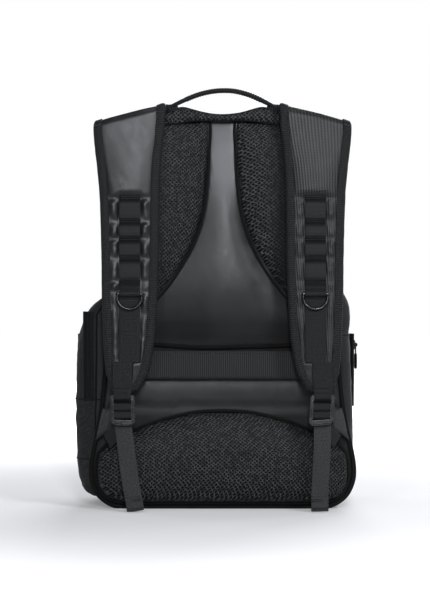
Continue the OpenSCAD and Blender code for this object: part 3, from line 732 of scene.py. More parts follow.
def teeth(P, up, side, body, name, pitch=2.2, w=2.6, l=1.3, h=1.0, rep=()):
    """Two interlocked rows of small coil teeth."""
    P = np.asarray(P, float)
    L = np.concatenate([[0], np.cumsum(np.linalg.norm(np.diff(P, axis=0), axis=1))])
    n = int(L[-1] / pitch)
    s = (np.arange(n) + 0.5) * pitch
    C = np.stack([np.interp(s, L, P[:, k]) for k in range(3)], 1)
    U = np.stack([np.interp(s, L, np.broadcast_to(up, P.shape)[:, k]) for k in range(3)], 1)
    U /= np.linalg.norm(U, axis=1)[:, None]
    T = np.gradient(C, axis=0)
    T /= np.linalg.norm(T, axis=1)[:, None]
    B = np.cross(T, U)
    V, F, UV, k = [], [], [], 0
    prof = np.array([(-1, 0), (-.9, .62), (-.45, 1), (.45, 1), (.9, .62), (1, 0)])
    for i in range(n):
        o = (1 if i % 2 else -1) * w * 0.22
        a = []
        for e in (-1, 1):
            for q in prof:
                a.append(C[i] + T[i] * (e * l / 2 * (1 - 0.25 * q[1])) + B[i] * (o + q[0] * w / 2) + U[i] * (q[1] * h))
        V += a
        m = len(prof)
        fs = [tuple(range(m))[::-1], tuple(range(m, 2 * m))] + [(j, (j + 1) % m, m + (j + 1) % m, m + j) for j in range(m)]
        for f in fs:
            F.append(tuple(x + k for x in f))
            UV += [(0, 0)] * len(f)
        k += 2 * m
    return mk(name, V, F, 'zipper', body, UV, smooth=False, rep=rep, recalc=True)

# ------------------------------------------------------------------ shoulder straps
CS, SN = math.cos(LEAN), math.sin(LEAN)
STA = cr([[0, 69, 155], [12, 69.5, 154.5], [30, 71, 153], [55, 74, 150.5], [90, 75.5, 147.5], [130, 76, 146], [170, 76.5, 145], [215, 78, 144.5], [255, 80.5, 143], [285, 84.5, 141.5], [305, 90, 139], [318, 97, 135.5], [326, 104, 131.5]], 6)
def xin(d): return np.interp(d, STA[:, 0], STA[:, 1])
def xout(d): return np.interp(d, STA[:, 0], STA[:, 2])

def spt(s, x, d, e):
    """Point of a strap: x across the bag, d down from the fold axis along the strap, e below its outer face."""
    x, d, e = np.broadcast_arrays(np.asarray(x, float), np.asarray(d, float), np.asarray(e, float))
    k = 0.256 * np.maximum(0, 1 - np.maximum(d, 0) / 70)
    t = math.pi + np.minimum(d, 0) / 10
    y = np.cos(t) * (10 - e)
    z = np.sin(t) * (10 - e) - np.maximum(d, 0) - k * (x - 112)
    return np.stack([s * x, -98 + y * CS + z * SN, 469 - y * SN + z * CS], -1)

def snorm(d):
    t = math.pi + np.minimum(np.asarray(d, float), 0) / 10
    c, q = np.cos(t), np.sin(t)
    return np.stack([np.zeros_like(c), c * CS + q * SN, -c * SN + q * CS], -1)

TACKS = [375.5, 347.5, 326.5, 303.0, 275.5, 262.5]
def puff(s, x, d):
    z = 469 - d
    a, b = xin(d) + 10.0, xout(d) - 10.0
    has = smooth(d, 84, 95) * (1 - smooth(d, 288, 296))
    u1 = np.clip((x - a) / np.maximum(98.5 - a, 1), 0, 1)
    u2 = np.clip((x - 123.5) / np.maximum(b - 123.5, 1), 0, 1)
    uf = np.clip((x - a) / (b - a), 0, 1)
    tk = np.zeros_like(x)
    for t in TACKS:
        tk = np.maximum(tk, np.exp(-((z - t) / 3.6) ** 2))
    low = 1 - smooth(d, 150, 250) * 0.35
    irr = fold_noise(np.stack([x * 0.9, d, np.full_like(x, 50.0 * s)], 1), 15.0, 77, 2)
    side = (np.sin(np.pi * u1) ** 1.15 + np.sin(np.pi * u2) ** 1.15) * ((2.3 if s < 0 else 1.6) * low) * (1 - 0.8 * tk) * (1 + 0.75 * irr)
    top = (1.6 + 3.0 * smooth(d, 5, 80)) * np.sin(np.pi * uf) ** 0.6 * (1 - 0.45 * smooth(-d, 2, 18))
    return has * side + (1 - has) * top * (1 - 0.6 * smooth(d, 288, 300))

def make_strap(s, n):
    body = "strap_" + n
    coat = 'coat_l' if s < 0 else 'coat_r'
    # face
    ds = np.concatenate([np.arange(-21, 0, 1.5), np.arange(0, 323, 2.0)])
    N = 40
    rings = []
    for d in ds:
        xs = np.linspace(xin(d) + 8.2, xout(d) - 8.2, N)
        dd = np.full(N, d)
        h = puff(s, xs, dd)
        q = np.stack([xs * 1.0, dd * 0.55, np.full(N, 40.0 * s)], 1)
        edge = np.clip(np.minimum(xs - xs[0] - 2, xs[-1] - 2 - xs) / 6, 0, 1)
        wr = fold_noise(q, 24.0, 3 + s, 2)
        dia = fold_noise(np.stack([xs + 0.6 * d, dd * 0.22 - xs * 0.3, np.zeros(N)], 1), 17.0, 9 + s, 2)
        amp = (0.65 if s < 0 else 0.4) * (0.45 + 0.55 * smooth(np.full(N, d), 60, 110))
        free = 1 - smooth(np.full(N, d), 84, 95) * (1 - smooth(np.full(N, d), 288, 296)) * (np.abs(xs - 111) < 12.5)
        h = h + edge * amp * (0.65 * wr + 0.75 * dia) * (0.25 + 0.75 * free)
        h = np.where((np.abs(xs - 111) < 13) & (d > 92) & (d < 290), np.minimum(h, 0.45), h)
        h = np.where((np.abs(xs - 119.5) < 12.5) & (d > 290), np.minimum(h, 0.5), h)
        f = spt(s, xs, dd, 0.6 - h)
        bx = np.linspace(xs[-1], xs[0], 12)
        b = spt(s, bx, np.full(12, d), np.full(12, 7.0))
        rings.append(np.vstack([f, b]))
    V, F, UV = loft(np.array(rings))
    o = mk("strap_face_" + n, V, F, coat, body, UV, rep=["strap_pad_" + n])
    # mesh lining at the back
    rings = []
    for d in ds:
        xs = np.linspace(xin(d) + 8.4, xout(d) - 8.4, 26)
        w = np.sin(np.pi * np.linspace(0, 1, 26)) ** 0.5
        gap = 0.9 * w * smooth(np.full(26, d), 10, 60) + 0.3 * fold_noise(np.stack([xs, np.full(26, d), np.full(26, 9.0)], 1), 22.0, 5, 2) * w
        f = spt(s, xs, np.full(26, d), 8.7 + gap)
        b = spt(s, xs[::-1], np.full(26, d), 7.15)
        rings.append(np.vstack([f, b]))
    V, F, UV = loft(np.array(rings))
    o = mk("strap_back_mesh_" + n, V, F, 'mesh_uv', body, UV, rep=["strap_lining_" + n])
    # binding: one tape down the inner edge, round the end and up the outer edge
    di = np.concatenate([np.arange(-21, 0, 2.1), np.arange(0, 306, 4.0)])
    low = cr([[xin(306), 306], [97.2, 318], [102, 324], [110, 326.6], [118, 327], [126, 326.4], [131.8, 323.4], [135.2, 317], [xout(306), 306]], 6)
    E = np.vstack([np.stack([xin(di), di], 1), low, np.stack([xout(di), di], 1)[::-1]])
    keep = [0]
    for i in range(1, len(E)):
        if np.linalg.norm(E[i] - E[keep[-1]]) > 0.8:
            keep.append(i)
    E = E[keep]
    T = np.gradient(E, axis=0)
    T /= np.linalg.norm(T, axis=1)[:, None]
    NI = np.stack([T[:, 1], -T[:, 0]], 1)          # towards the middle of the strap
    if (NI[5, 0]) < 0:
        NI = -NI
    prof_o = [(10.5, -0.45), (10.0, -0.85), (6.5, -0.85), (3.0, -0.6), (1.2, 0.5), (0.3, 2.4), (0, 4.7), (0.3, 6.8), (1.2, 8.5), (3.0, 9.5), (6.5, 9.7), (10.0, 9.7), (10.5, 9.3)]
    prof_i = [(10.5, 8.6), (6.0, 8.6), (3.2, 8.1), (1.9, 6.6), (1.5, 4.7), (1.9, 2.6), (3.2, 1.0), (6.0, 0.45), (10.5, 0.45)]
    prof = np.array(prof_o + prof_i)
    wob = fold_noise(np.stack([E[:, 0], E[:, 1], np.full(len(E), 3.0 * s)], 1), 9.0, 21, 2)
    rings = []
    for i, (p, ni) in enumerate(zip(E, NI)):
        down = smooth(p[1], 284, 300)
        a = prof[:, 0] * (1 - 0.18 * smooth(p[1], 300, 322)) + 0.25 * wob[i]
        e = prof[:, 1] + np.where(prof[:, 1] < 1, 0.95 * down, 0) + 0.25 * wob[i] * (prof[:, 1] < 3)
        rings.append(spt(s, p[0] + ni[0] * a, p[1] + ni[1] * a, e))
    V, F, UV = loft(np.array(rings))
    mk("strap_binding_tape_" + n, V, F, 'tape', body, UV, rep=["strap_binding_" + n])
    runs = []
    for a, e, sg in ((9.1, -0.85, 1), (9.1, 9.7, -1)):
        sel = np.abs(E[:, 1]) < 298
        half1 = np.arange(len(E))[: int(np.argmax(E[:, 1] > 298))]
        half2 = np.arange(len(E))[len(E) - int(np.argmax(E[::-1, 1] > 298)):]
        for h in (half1, half2):
            runs.append((spt(s, E[h, 0] + NI[h, 0] * a, E[h, 1] + NI[h, 1] * a, e), snorm(E[h, 1]) * sg))
    stitches("strap_binding_stitches_" + n, runs, body, pitch=3.4, length=2.5, r=0.3)
    # webbing with raised loops, the fold round the ring's bar and the flat run below
    seg = [(373, 349), (346, 328), (324, 305), (301, 277), (274, 264.6)]
    P = [(379, -0.3), (378, -1.05), (376, -1.05)]
    for z0, z1 in seg:
        h = 3.5 if z0 != 274 else 1.1
        for u in np.linspace(0, 1, 15):
            uu = u ** 0.9
            P.append((z0 + (z1 - z0) * u, -1.05 - h * max(0.0, 1 - abs(2 * uu - 1) ** 3.0) ** 0.62))
    P += [(263.4, -1.6)]
    for a in np.linspace(100, 285, 12):
        r = math.radians(a)
        P.append((260 + 2.65 * math.cos(r - TAU / 4), -4.3 - 2.65 * math.sin(r - TAU / 4)))
    P += [(257.4, -2.6), (256.4, -1.4), (254.5, -1.05)]
    P += [(z, -1.05 - 0.25 * math.sin((254 - z) / 76 * math.pi)) for z in np.arange(250, 180, -5.0)] + [(178.6, -1.0), (178, -0.9)]
    P = np.array(P)
    path = spt(s, 111, 469 - P[:, 0], P[:, 1])
    R = ribbon(path, (0, -1, 0), 12.5, 0.78, S=(s, 0, 0))
    V, F, UV = loft(R)
    mk("strap_loop_webbing_" + n, V, F, 'web_loop', body, UV, rep=["strap_webbing_" + n])
    runs = []
    for z in (376.4, 374.2, 348.6, 346.4, 327.9, 325.0, 304.2, 301.9, 276.6, 274.4, 254.0, 252.0):
        xs = np.linspace(99.5, 122.5, 12)
        runs.append((spt(s, xs, 469 - z, -1.9), snorm(np.full(12, 469 - z))))
    bar_line("strap_bar_tacks_" + n, runs, body, 0.42)
    runs = []
    for x in (101.3, 120.7):
        zz = np.arange(251, 183, -2.0)
        runs.append((spt(s, x, 469 - zz, -1.95 - 0.25 * np.sin((254 - zz) / 76 * math.pi)), snorm(469 - zz)))
    stitches("strap_webbing_stitches_" + n, runs, body, slot='webbing', pitch=3.0, length=2.2, r=0.32)
    # end tab: sewn patch, folded round the lock's top bar
    Q = [(178.6, -0.4), (178, -1.1)] + [(z, -1.15) for z in np.arange(175, 145, -3.0)] + [(143, -1.15), (140, -1.15), (137.5, -1.12)]
    for a in np.linspace(0, 178, 12):
        Q.append((136.6 - 2.6 * math.sin(math.radians(a)), 1.5 - 2.62 * math.cos(math.radians(a))))
    Q += [(138.5, 4.1), (141.5, 4.3), (142.3, 4.3)]
    Q = np.array(Q)
    path = spt(s, 119.5, 469 - Q[:, 0], Q[:, 1])
    w = np.where(Q[:, 0] > 145, 12.0, 10.0)
    w = np.convolve(np.pad(w, 2, mode='edge'), np.ones(5) / 5, 'valid')
    R = ribbon(path, (0, -1, 0), w, 0.75, S=(s, 0, 0))
    V, F, UV = loft(R)
    mk("strap_end_patch_" + n, V, F, 'web', body, UV, rep=["strap_end_tab_" + n])
    bx = [(109.5, 175.5), (129.5, 175.5), (129.5, 147.5), (109.5, 147.5), (109.5, 175.5), (129.5, 147.5), (129.5, 148.2), (129.5, 147.5), (109.5, 147.5), (129.5, 175.5)]
    runs = []
    for (x0, z0), (x1, z1) in zip(bx[:-1], bx[1:]):
        m = 10
        xs, zz = np.linspace(x0, x1, m), np.linspace(z0, z1, m)
        if abs(x1 - x0) + abs(z1 - z0) > 3:
            runs.append((spt(s, xs, 469 - zz, -1.92), snorm(469 - zz)))
    stitches("strap_end_box_stitch_" + n, runs, body, slot='webbing', pitch=2.5, length=2.0, r=0.34)
    bar_line("strap_end_tack_" + n, [(spt(s, np.linspace(110.5, 128.5, 8), 469 - 141.6, -1.95), snorm(np.full(8, 320.0)))], body, 0.42)

def corner_wrap(s, n):
    """The binding's end, folded over the strap's inner top corner."""
    D = np.array([-17.5, -16.5, -14, -10, -5, 0, 5, 10, 15, 19, 21.5, 22.3])
    g = np.array([0.15, 0.6, 0.95, 1.0, 1.0, 1.0, 0.95, 0.85, 0.7, 0.5, 0.3, 0.1])
    rings = []
    for d, q in zip(D, g):
        x0 = xin(d)
        prof = np.array([(-0.2, 6.2), (-0.9, 4.0), (-0.9, 1.6), (-0.1, -0.6), (1.6, -1.5), (4.2, -1.9), (7.0, -1.7), (9.0, -1.0), (9.8, 0.0), (8.0, 0.6), (4.0, 0.6), (1.0, 1.4), (0.6, 4.0), (0.5, 6.2)])
        a = x0 + 0.6 + (prof[:, 0] - 0.6) * q + 0.35 * (np.abs(d) < 15)
        rings.append(spt(s, a, np.full(len(a), d) - 0.12 * prof[:, 0], 0.5 + (prof[:, 1] - 0.5) * q))
    R = np.array(rings)
    nz = fold_noise(R.reshape(-1, 3), 5.0, 131 + s, 2).reshape(R.shape[:2])
    R[..., 1] -= 0.45 * nz
    V, F, UV = loft(R)
    o = mk("strap_corner_wrap_" + n, V, F, 'tape', "strap_" + n, UV)
    subdiv(o, 1)

for s, n in ((-1, "left"), (1, "right")):
    make_strap(s, n)
    corner_wrap(s, n)

# ------------------------------------------------------------------ ladder locks, wraps, tails, anchor webbing, wings
def plate(name, outer, holes, thick, bev, mat, body, to_world, rep=(), closed_z=None):
    """Flat moulded plate with holes and rounded edges; outlines in mm on the x, z plane."""
    cu = bpy.data.curves.new(name + "_c", 'CURVE')
    cu.dimensions = '2D'
    cu.fill_mode = 'BOTH'
    cu.extrude = (thick / 2 - bev) * MM
    cu.bevel_depth = bev * MM
    cu.bevel_resolution = 3
    for P in [outer] + holes:
        P = np.asarray(P, float)
        sp = cu.splines.new('POLY')
        sp.points.add(len(P) - 1)
        sign = 1
        for q, p in zip(sp.points, P):
            q.co = (p[0] * MM, p[1] * MM, 0, 1)
        sp.use_cyclic_u = True
    tmp = bpy.data.objects.new(name + "_c", cu)
    scene.collection.objects.link(tmp)
    dg = bpy.context.evaluated_depsgraph_get()
    dg.update()
    me = bpy.data.meshes.new_from_object(tmp.evaluated_get(dg), depsgraph=dg)
    bpy.data.objects.remove(tmp)
    c = np.zeros(len(me.vertices) * 3)
    me.vertices.foreach_get("co", c)
    c = c.reshape(-1, 3) / MM
    F = [tuple(p.vertices) for p in me.polygons]
    V = to_world(np.stack([c[:, 0], -c[:, 2], c[:, 1]], 1))
    bpy.data.meshes.remove(me)
    me = bpy.data.meshes.new(name)
    me.from_pydata((V * MM).tolist(), [], F)
    bm = bmesh.new()
    bm.from_mesh(me)
    bmesh.ops.remove_doubles(bm, verts=bm.verts, dist=1e-6)
    bmesh.ops.recalc_face_normals(bm, faces=bm.faces)
    bm.to_mesh(me)
    bm.free()
    me.materials.append(M[mat])
    ob = bpy.data.objects.new(name, me)
    scene.collection.objects.link(ob)
    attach(ob, body)
    if rep:
        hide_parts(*rep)
    return ob

def rrect(x0, z0, x1, z1, r, n=6, rb=None):
    """Rounded rectangle outline; rb is the radius of the lower corners."""
    rb = r if rb is None else rb
    out = []
    for cx, cz, a0, rr in ((x1 - r, z1 - r, 0, r), (x0 + r, z1 - r, 90, r), (x0 + rb, z0 + rb, 180, rb), (x1 - rb, z0 + rb, 270, rb)):
        for a in np.linspace(a0, a0 + 90, n):
            out.append((cx + rr * math.cos(math.radians(a)), cz + rr * math.sin(math.radians(a))))
    return np.array(out)

def lock_world(s, tilt):
    def f(P):
        P = np.asarray(P, float)
        x = P[:, 0] - math.tan(math.radians(tilt)) * -P[:, 2]
        z = P[:, 2] + math.sin(math.radians(tilt)) * P[:, 0] * smooth(-P[:, 2], 4, 14)
        return spt(s, 119.5 + x, 332.4 - z, 1.5 + P[:, 1])
    return f

def make_lock(s, n, tilt):
    body = "lock_" + n
    W = lock_world(s, tilt)
    outer = rrect(-14, -33, 14, 1.9, 2.6, 6, 6.6)
    holes = [rrect(-10.9, -8.0, 10.9, -2.6, 1.0, 4), rrect(-10.5, -18.0, 10.5, -15.0, 0.9, 4), rrect(-10.5, -27.4, 10.5, -23.9, 0.9, 4)]
    plate("lock_frame_" + n, outer, holes, 3.3, 0.75, 'plastic', body, W, rep=["ladder_lock_" + n])
    parts = []
    xs = np.linspace(-13.2, 13.2, 15)
    bow = 0.9 * np.cos(xs / 13.2 * math.pi / 2)
    parts.append(tube(W(np.stack([xs * 0.78, -1.35 - bow * 0.6, -30.4 - bow * 0.4], 1)), 1.15, 10, up=(0, 0, 1)))      # thumb lip
    for zz in (-9.3, -13.6):
        parts.append(tube(W(np.stack([xs * 0.78, np.full(15, -0.9), np.full(15, zz)], 1)), 0.75, 8, up=(0, 0, 1)))
    for zz in (-19.4, -22.6):
        parts.append(tube(W(np.stack([xs * 0.78, np.full(15, -0.9), np.full(15, zz)], 1)), 0.75, 8, up=(0, 0, 1)))
    for q in (-12.4, 12.4):                                                                                              # rails
        zz = np.linspace(-1.5, -27.5, 12)
        parts.append(tube(W(np.stack([np.full(12, q), -1.25 - 0.35 * np.sin(np.linspace(0, math.pi, 12)), zz], 1)), 0.9, 8, up=(0, -1, 0)))
    parts.append(tube(W(np.stack([np.linspace(-11.6, 11.6, 8), np.zeros(8), np.zeros(8)], 1)), 1.6, 14, up=(0, 0, 1)))   # top bar
    V, F, UV = join(parts)
    mk("lock_bars_" + n, V, F, 'plastic', body, UV)
    parts = []
    for zc in (-11.5, -21.0):
        a = np.linspace(-1, 1, 13)
        zz = zc + a * 4.35
        ee = -1.75 - 1.0 * np.sqrt(np.maximum(0, 1 - a ** 2)) + 3.3 * np.maximum(0, np.abs(a) - 0.86) / 0.14
        pth = W(np.stack([np.zeros(13), ee, zz], 1))
        parts.append(loft(ribbon(pth, (0, -1, 0), 10.1, 0.55, S=(s, 0, 0))))
    V, F, UV = join(parts)
    mk("lock_webbing_" + n, V, F, 'web', body, UV, rep=["lock_wrap_" + n])

make_lock(-1, "left", 1.5)
make_lock(1, "right", 4.0)

def make_tail(s, n, slant):
    z = np.concatenate([np.linspace(108.5, 96, 7), np.linspace(92, 3.0, 34)])
    L = (108 - z) / 106
    t = math.tan(math.radians(slant))
    x = 119.5 - (108 - z) * t + 1.1 * np.sin(L * 5.0 + s) * L
    y = -124.3 - 0.9 * np.sin(L * 6.3 + 0.6 * s) * smooth(L, 0.05, 0.3)
    y[-8:] = y[-9] + (-124.6 - y[-9]) * np.linspace(0, 1, 8)
    P = np.stack([s * x, y, z], 1)
    side = np.stack([np.full(len(z), s * math.cos(math.radians(slant))), 0.10 * np.sin(L * 7), np.full(len(z), math.sin(math.radians(slant)) * -1.0 * 0)], 1)
    tn = np.gradient(P, axis=0)
    tn /= np.linalg.norm(tn, axis=1)[:, None]
    side = side - (side * tn).sum(1)[:, None] * tn
    R1 = ribbon(P, (0, -1, 0), 10.4, 0.72, S=side)
    q = P[-8:].copy()
    zt = np.linspace(18.5, 3.2, 8)
    q = np.stack([np.interp(zt, z[::-1], P[::-1, 0]), np.interp(zt, z[::-1], P[::-1, 1]) - 1.5, zt], 1)
    R2 = ribbon(q, (0, -1, 0), 10.3, 0.7, S=side[-8:])
    e = np.array([q[-1], (q[-1] + P[-1]) / 2 + [0, 0, -1.0], P[-1]])
    parts = [loft(R1), loft(R2), loft(ribbon(np.array([q[-1] + [0, 0, .2], q[-1] + [0, 0.25, -.7], (q[-1] + P[-1]) / 2 + [0, 0, -1.15], P[-1] + [0, -0.2, -.55], P[-1] + [0, 0, .2]]), (0, -1, 0), 10.3, 0.55, S=side[-1]))]
    V, F, UV = join(parts)
    V[:, 2] = np.maximum(V[:, 2], 0.9)
    mk("hanging_tail_" + n, V, F, 'web_tail', "tail_" + n, UV, rep=["tail_" + n])
    runs = []
    for dz in (15.8, 13.8, 5.2):
        c = np.array([np.interp(dz, z[::-1], P[::-1, 0]), np.interp(dz, z[::-1], P[::-1, 1]) - 2.35, dz])
        runs.append((np.array([c - side[-1] * 9.4, c, c + side[-1] * 9.4]), (0, -1, 0)))
    bar_line("tail_tacks_" + n, runs, "tail_" + n, 0.4)

make_tail(-1, "left", 8)
make_tail(1, "right", 1.5)

def make_anchor(s, n):
    st = cr([[138.2, -105.7, 83.5, 50, 48], [133, -111.6, 89, 50, 45], [128, -117, 96.5, 43, 35], [123, -121.5, 105, 5, 18], [120.5, -122.2, 116, 0, 5]], 7)
    rings = []
    for p in st:
        a, b = math.radians(p[3]), math.radians(p[4])
        w = 10 * np.array([math.cos(b) * math.cos(a), math.cos(b) * math.sin(a), math.sin(b)])
        t = 0.6 * np.array([math.sin(a), -math.cos(a), 0])
        rings.append((p[:3] + RIB[:, :1] * w + RIB[:, 1:] * t) * [s, 1, 1])
    # the anchor strap is built in two pieces: the lower run between the wing and the strap, and the upper run up to the
    # lock
    q = 16
    V, F, UV = loft(np.array(rings[:q + 1]))
    o = mk("anchor_strap_" + n, V, F, 'web', None, UV, rep=["anchor_web_" + n])
    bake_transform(o)
    V, F, UV = loft(np.array(rings[q:]))
    o = mk("anchor_strap_top_" + n, V, F, 'web', None, UV)
    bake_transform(o)

for s, n in ((-1, "left"), (1, "right")):
    make_anchor(s, n)

def make_wing(s, n):
    A, B, C, D = (np.array(v, float) for v in ([153, -88, 84], [144.5, -88, 122], [130.5, -113.9, 128], [125, -114.5, 101]))
    m, k = 22, 18
    g = np.zeros((m, k, 3))
    for i, u in enumerate(np.linspace(0, 1, m)):
        for j, v in enumerate(np.linspace(0, 1, k)):
            p = (A * (1 - v) + B * v) * (1 - u) + (D * (1 - v) + C * v) * u
            sag = math.sin(math.pi * u) * math.sin(math.pi * v)
            edge = 4.0 * math.sin(math.pi * u)
            p = p + np.array([0.3, 0.6, 0]) * sag * 2.2
            p = p + (np.array([-.2, 0, 1.0]) * (-edge * v * 0.75) + np.array([0.2, 0, 1.0]) * (edge * (1 - v) * 0.6))
            g[i, j] = p
    nz = fold_noise(g.reshape(-1, 3), 10.0, 31 + s, 3).reshape(m, k)
    nm = np.cross(B - A, D - A); nm /= np.linalg.norm(nm)
    if nm[1] > 0: nm = -nm
    g += nm * (nz * 0.55)[..., None]
    front, back = g + nm * 0.65, g - nm * 0.65
    ring = [np.vstack([front[i], back[i][::-1]]) for i in range(m)]
    ring = np.array(ring) * [s, 1, 1]
    V, F, UV = loft(ring)
    mk("strap_wing_" + n, V, F, 'wing', "pack", UV, rep=["wing_" + n])
    parts, runs = [], []
    for e in (g[:, 0], g[:, -1], g[-1, :]):
        parts.append(tube(e * [s, 1, 1], 1.25, 8, up=(0, -1, 0.2), sx=1.0, sy=0.9))
    V, F, UV = join(parts)
    mk("wing_binding_" + n, V, F, 'tape', "pack", UV)
    nn = nm * [s, 1, 1]
    for e in (g[:, 2], g[:, -3], g[-3, :]):
        runs.append((e * [s, 1, 1] + nn * 0.75, nn))
    stitches("wing_stitches_" + n, runs, "pack", pitch=3.0, length=2.2, r=0.3)

for s, n in ((-1, "left"), (1, "right")):
    make_wing(s, n)

# ------------------------------------------------------------------ back panel with its raised channel
PAD_IN = np.array([(474, 13), (462, 14.5), (452, 16), (425, 16), (397, 17), (368, 20), (345, 25), (320, 34), (294, 48), (269, 65), (250, 82), (237, 100), (228, 118), (120, 130)])[::-1]

LIFT = cr([[0, 0], [116, 0], [128, 1.2], [145, 2.0], [160, 1.4], [178, 0.5], [196, 0.3], [206, 0.8], [220, 3.6], [240, 7.0], [265, 9.2], [295, 10.4], [330, 11.4], [370, 11.8], [400, 10.0], [435, 6.2], [458, 2.4], [472, 0.6]], 8)
CROWN = cr([[0, 0], [180, 0.2], [200, 1.0], [216, 4.5], [235, 7.8], [280, 8.2], [330, 5.6], [380, 2.4], [420, 0.8], [464, 0.2]], 8)
CREST = cr([[0, 0.4], [200, 0.44], [250, 0.42], [300, 0.36], [380, 0.18], [440, 0.0], [464, 0.0]], 8)
def panel_y(x, z):
    r = np.abs(x) / np.interp(z, PAD_IN[:, 0], PAD_IN[:, 1])
    flat = 1 - smooth(r, 1.02, 1.3)
    lift, crown, u0 = (np.interp(z, t[:, 0], t[:, 1]) for t in (LIFT, CROWN, CREST))
    u = np.clip(x / np.interp(z, PAD_IN[:, 0], PAD_IN[:, 1]), -1, 1)
    q = u - u0
    hump = 1 - np.abs(q / np.where(q > 0, 1 - u0, 1 + u0)) ** np.where(q > 0, 2.0, 1.7)
    return -84.1 - flat * (lift + crown * hump)

def radial_disc(outline, yf, rings=44, name="", power=1.0):
    O = resample(outline, 300, True)
    C = np.array([0, 236.0])
    rr = np.linspace(0, 1, rings + 1)[1:] ** power
    P = C + rr[:, None, None] * (O[None] - C)
    return P, O, C

def back_skin():
    P, O, C = radial_disc(full_back, None, 60)
    m, n = P.shape[:2]
    for A in (P, O):           # the cover rises behind the collar at the neck
        A[..., 1] += 8.5 * smooth(A[..., 1], 440, 463) * (1 - smooth(np.abs(A[..., 0]), 54, 72))
    x, z = P[..., 0], P[..., 1]
    q = np.stack([x.ravel(), z.ravel() * 0.5, np.zeros(x.size)], 1)
    w1 = fold_noise(q, 26.0, 2, 3).reshape(m, n)
    q = np.stack([x.ravel() + z.ravel() * 0.5, z.ravel() * 0.35 - x.ravel() * 0.4, np.ones(x.size) * 40], 1)
    w2 = fold_noise(q, 20.0, 4, 2).reshape(m, n)
    rimf = np.linspace(0, 1, m)[:, None]
    rim = smooth(rimf, 0.965, 1.0)
    y = panel_y(x, z) - (0.14 * w1 + 0.06 * w2) * (1 - rim) + rim * 1.2
    V = [np.array([[0, panel_y(np.array(0.0), np.array(236.0)), 236.0]])]
    for i in range(m):
        V.append(np.stack([x[i], y[i], z[i]], 1))
    V.append(np.stack([O[:, 0], np.full(n, -80.6), O[:, 1]], 1))
    V.append(np.array([[0, -80.6, 236.0]]))
    V = np.vstack(V)
    F = [(0, 1 + i, 1 + (i + 1) % n) for i in range(n)]
    for j in range(m):
        a = 1 + j * n
        F += [(a + i, a + n + i, a + n + (i + 1) % n, a + (i + 1) % n) for i in range(n)]
    a = 1 + m * n
    F += [(len(V) - 1, a + (i + 1) % n, a + i) for i in range(n)]
    mk("back_cover", V, F, 'panel', "pack", rep=["back_panel"])

back_skin()

def piping(name, off, y, r, z_end, body, outline=full_back, mat='piping', keep=None):
    O = resample(outline, 420, True)
    N = outline_normals(O)
    P = O + N * off
    lo = P[:, 1] < z_end
    k = np.nonzero(lo & ~np.roll(lo, 1))[0]
    k = int(k[0]) if len(k) else 0
    P = np.roll(P, -k, 0)[: int(lo.sum())]
    P[:, 1] = np.maximum(P[:, 1], r + 0.25)
    Q = np.stack([P[:, 0], np.full(len(P), y), P[:, 1]], 1)
    return Q

for nm, off, y, r in (("outer", 2.55, -83.7, 1.65), ("inner", 0.35, -85.3, 1.5)):
    Q = piping(nm, off, y, r, 448, "pack")
    wv = fold_noise(Q, 40.0, 6 if nm == "outer" else 8, 2)
    Q[:, 1] += wv * 0.3
    V, F, UV = tube(Q, r + 0.08 * wv, 12, up=(0, -1, 0))
    V[:, 2] = np.maximum(V[:, 2], 0.1)
    mk("edge_piping_" + nm, V, F, 'piping', "pack", UV, rep=["back_piping"] if nm == "outer" else ())

# ------------------------------------------------------------------ pads (cloth simulated)
def pad_mesh(name, outline, sections, mat, drop=0.0):
    O = resample(outline, 120, True)
    N = outline_normals(O)
    if np.cross(O[1] - O[0], O[0] - O.mean(0)) > 0:
        N = N
    area2 = 0.5 * np.sum(O[:, 0] * np.roll(O[:, 1], -1) - np.roll(O[:, 0], -1) * O[:, 1])
    if area2 < 0:
        N = -N
    rings = [np.stack([(O - N * i)[:, 0], np.full(len(O), y), (O - N * i)[:, 1]], 1) for y, i in sections]
    V, F, UV = loft(np.array(rings))
    return mk(name, V, F, mat, None)

UP = cr_closed([[14.5, 468], [15.5, 425], [17, 397], [20, 368], [25, 345], [34, 320], [48, 294], [65, 269], [82, 250], [100, 237], [117, 232], [128, 242], [131, 290], [131, 350], [130, 400], [124, 434], [111, 451], [93, 462], [74, 468.5], [52, 469.5], [30, 470]], 4)
LUM = cr([[0, 6], [60, 6], [106, 6], [131, 8.5], [146, 17], [153.5, 34], [154, 52], [150.5, 68], [140, 79], [118, 91], [92, 102.5], [62, 112], [30, 118.5], [0, 120]], 4)
LUM = np.vstack([LUM[:-1], (LUM * [-1, 1])[::-1][:-1]])

def finish_pad(o, body, node, seed, amp=0.5, zmin=None):
    co = get_co(o)
    n = normals_of(o)
    w = fold_noise(co * [1, .6, .6], 24.0, seed, 3)
    front = smooth(-co[:, 1], 86, 92)
    co += n * (w * amp * front)[:, None]
    co[:, 1] = np.minimum(co[:, 1], -84.2 - 0.0)
    if zmin is not None:
        co[:, 2] = np.maximum(co[:, 2], zmin)
    set_co(o, co)
    subdiv(o, 1)
    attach(o, body)
    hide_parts(node)

for s, n in ((-1, "left"), (1, "right")):
    o = pad_mesh("back_pad_" + n, UP * [s, 1], [(-96.2, 10), (-94.6, 5.5), (-90.5, 2.2), (-86.5, 1.2), (-84.4, 1.0)], 'mesh')
    inflate(o, 4.6, 4.0, 5.0, lambda c: (c[:, 1] > -86.6).astype(float))
    finish_pad(o, "pack", "upper_pad_" + n, 40 + s, 0.55)
o = pad_mesh("lumbar_cushion", LUM, [(-99.4, 15), (-97.6, 8.5), (-93.0, 3.2), (-88, 1.6), (-84.4, 1.2)], 'mesh')
inflate(o, 4.8, 4.0, 6.0, lambda c: (c[:, 1] > -87.0).astype(float))
finish_pad(o, "pack", "lumbar_pad", 51, 0.6, zmin=2.5)
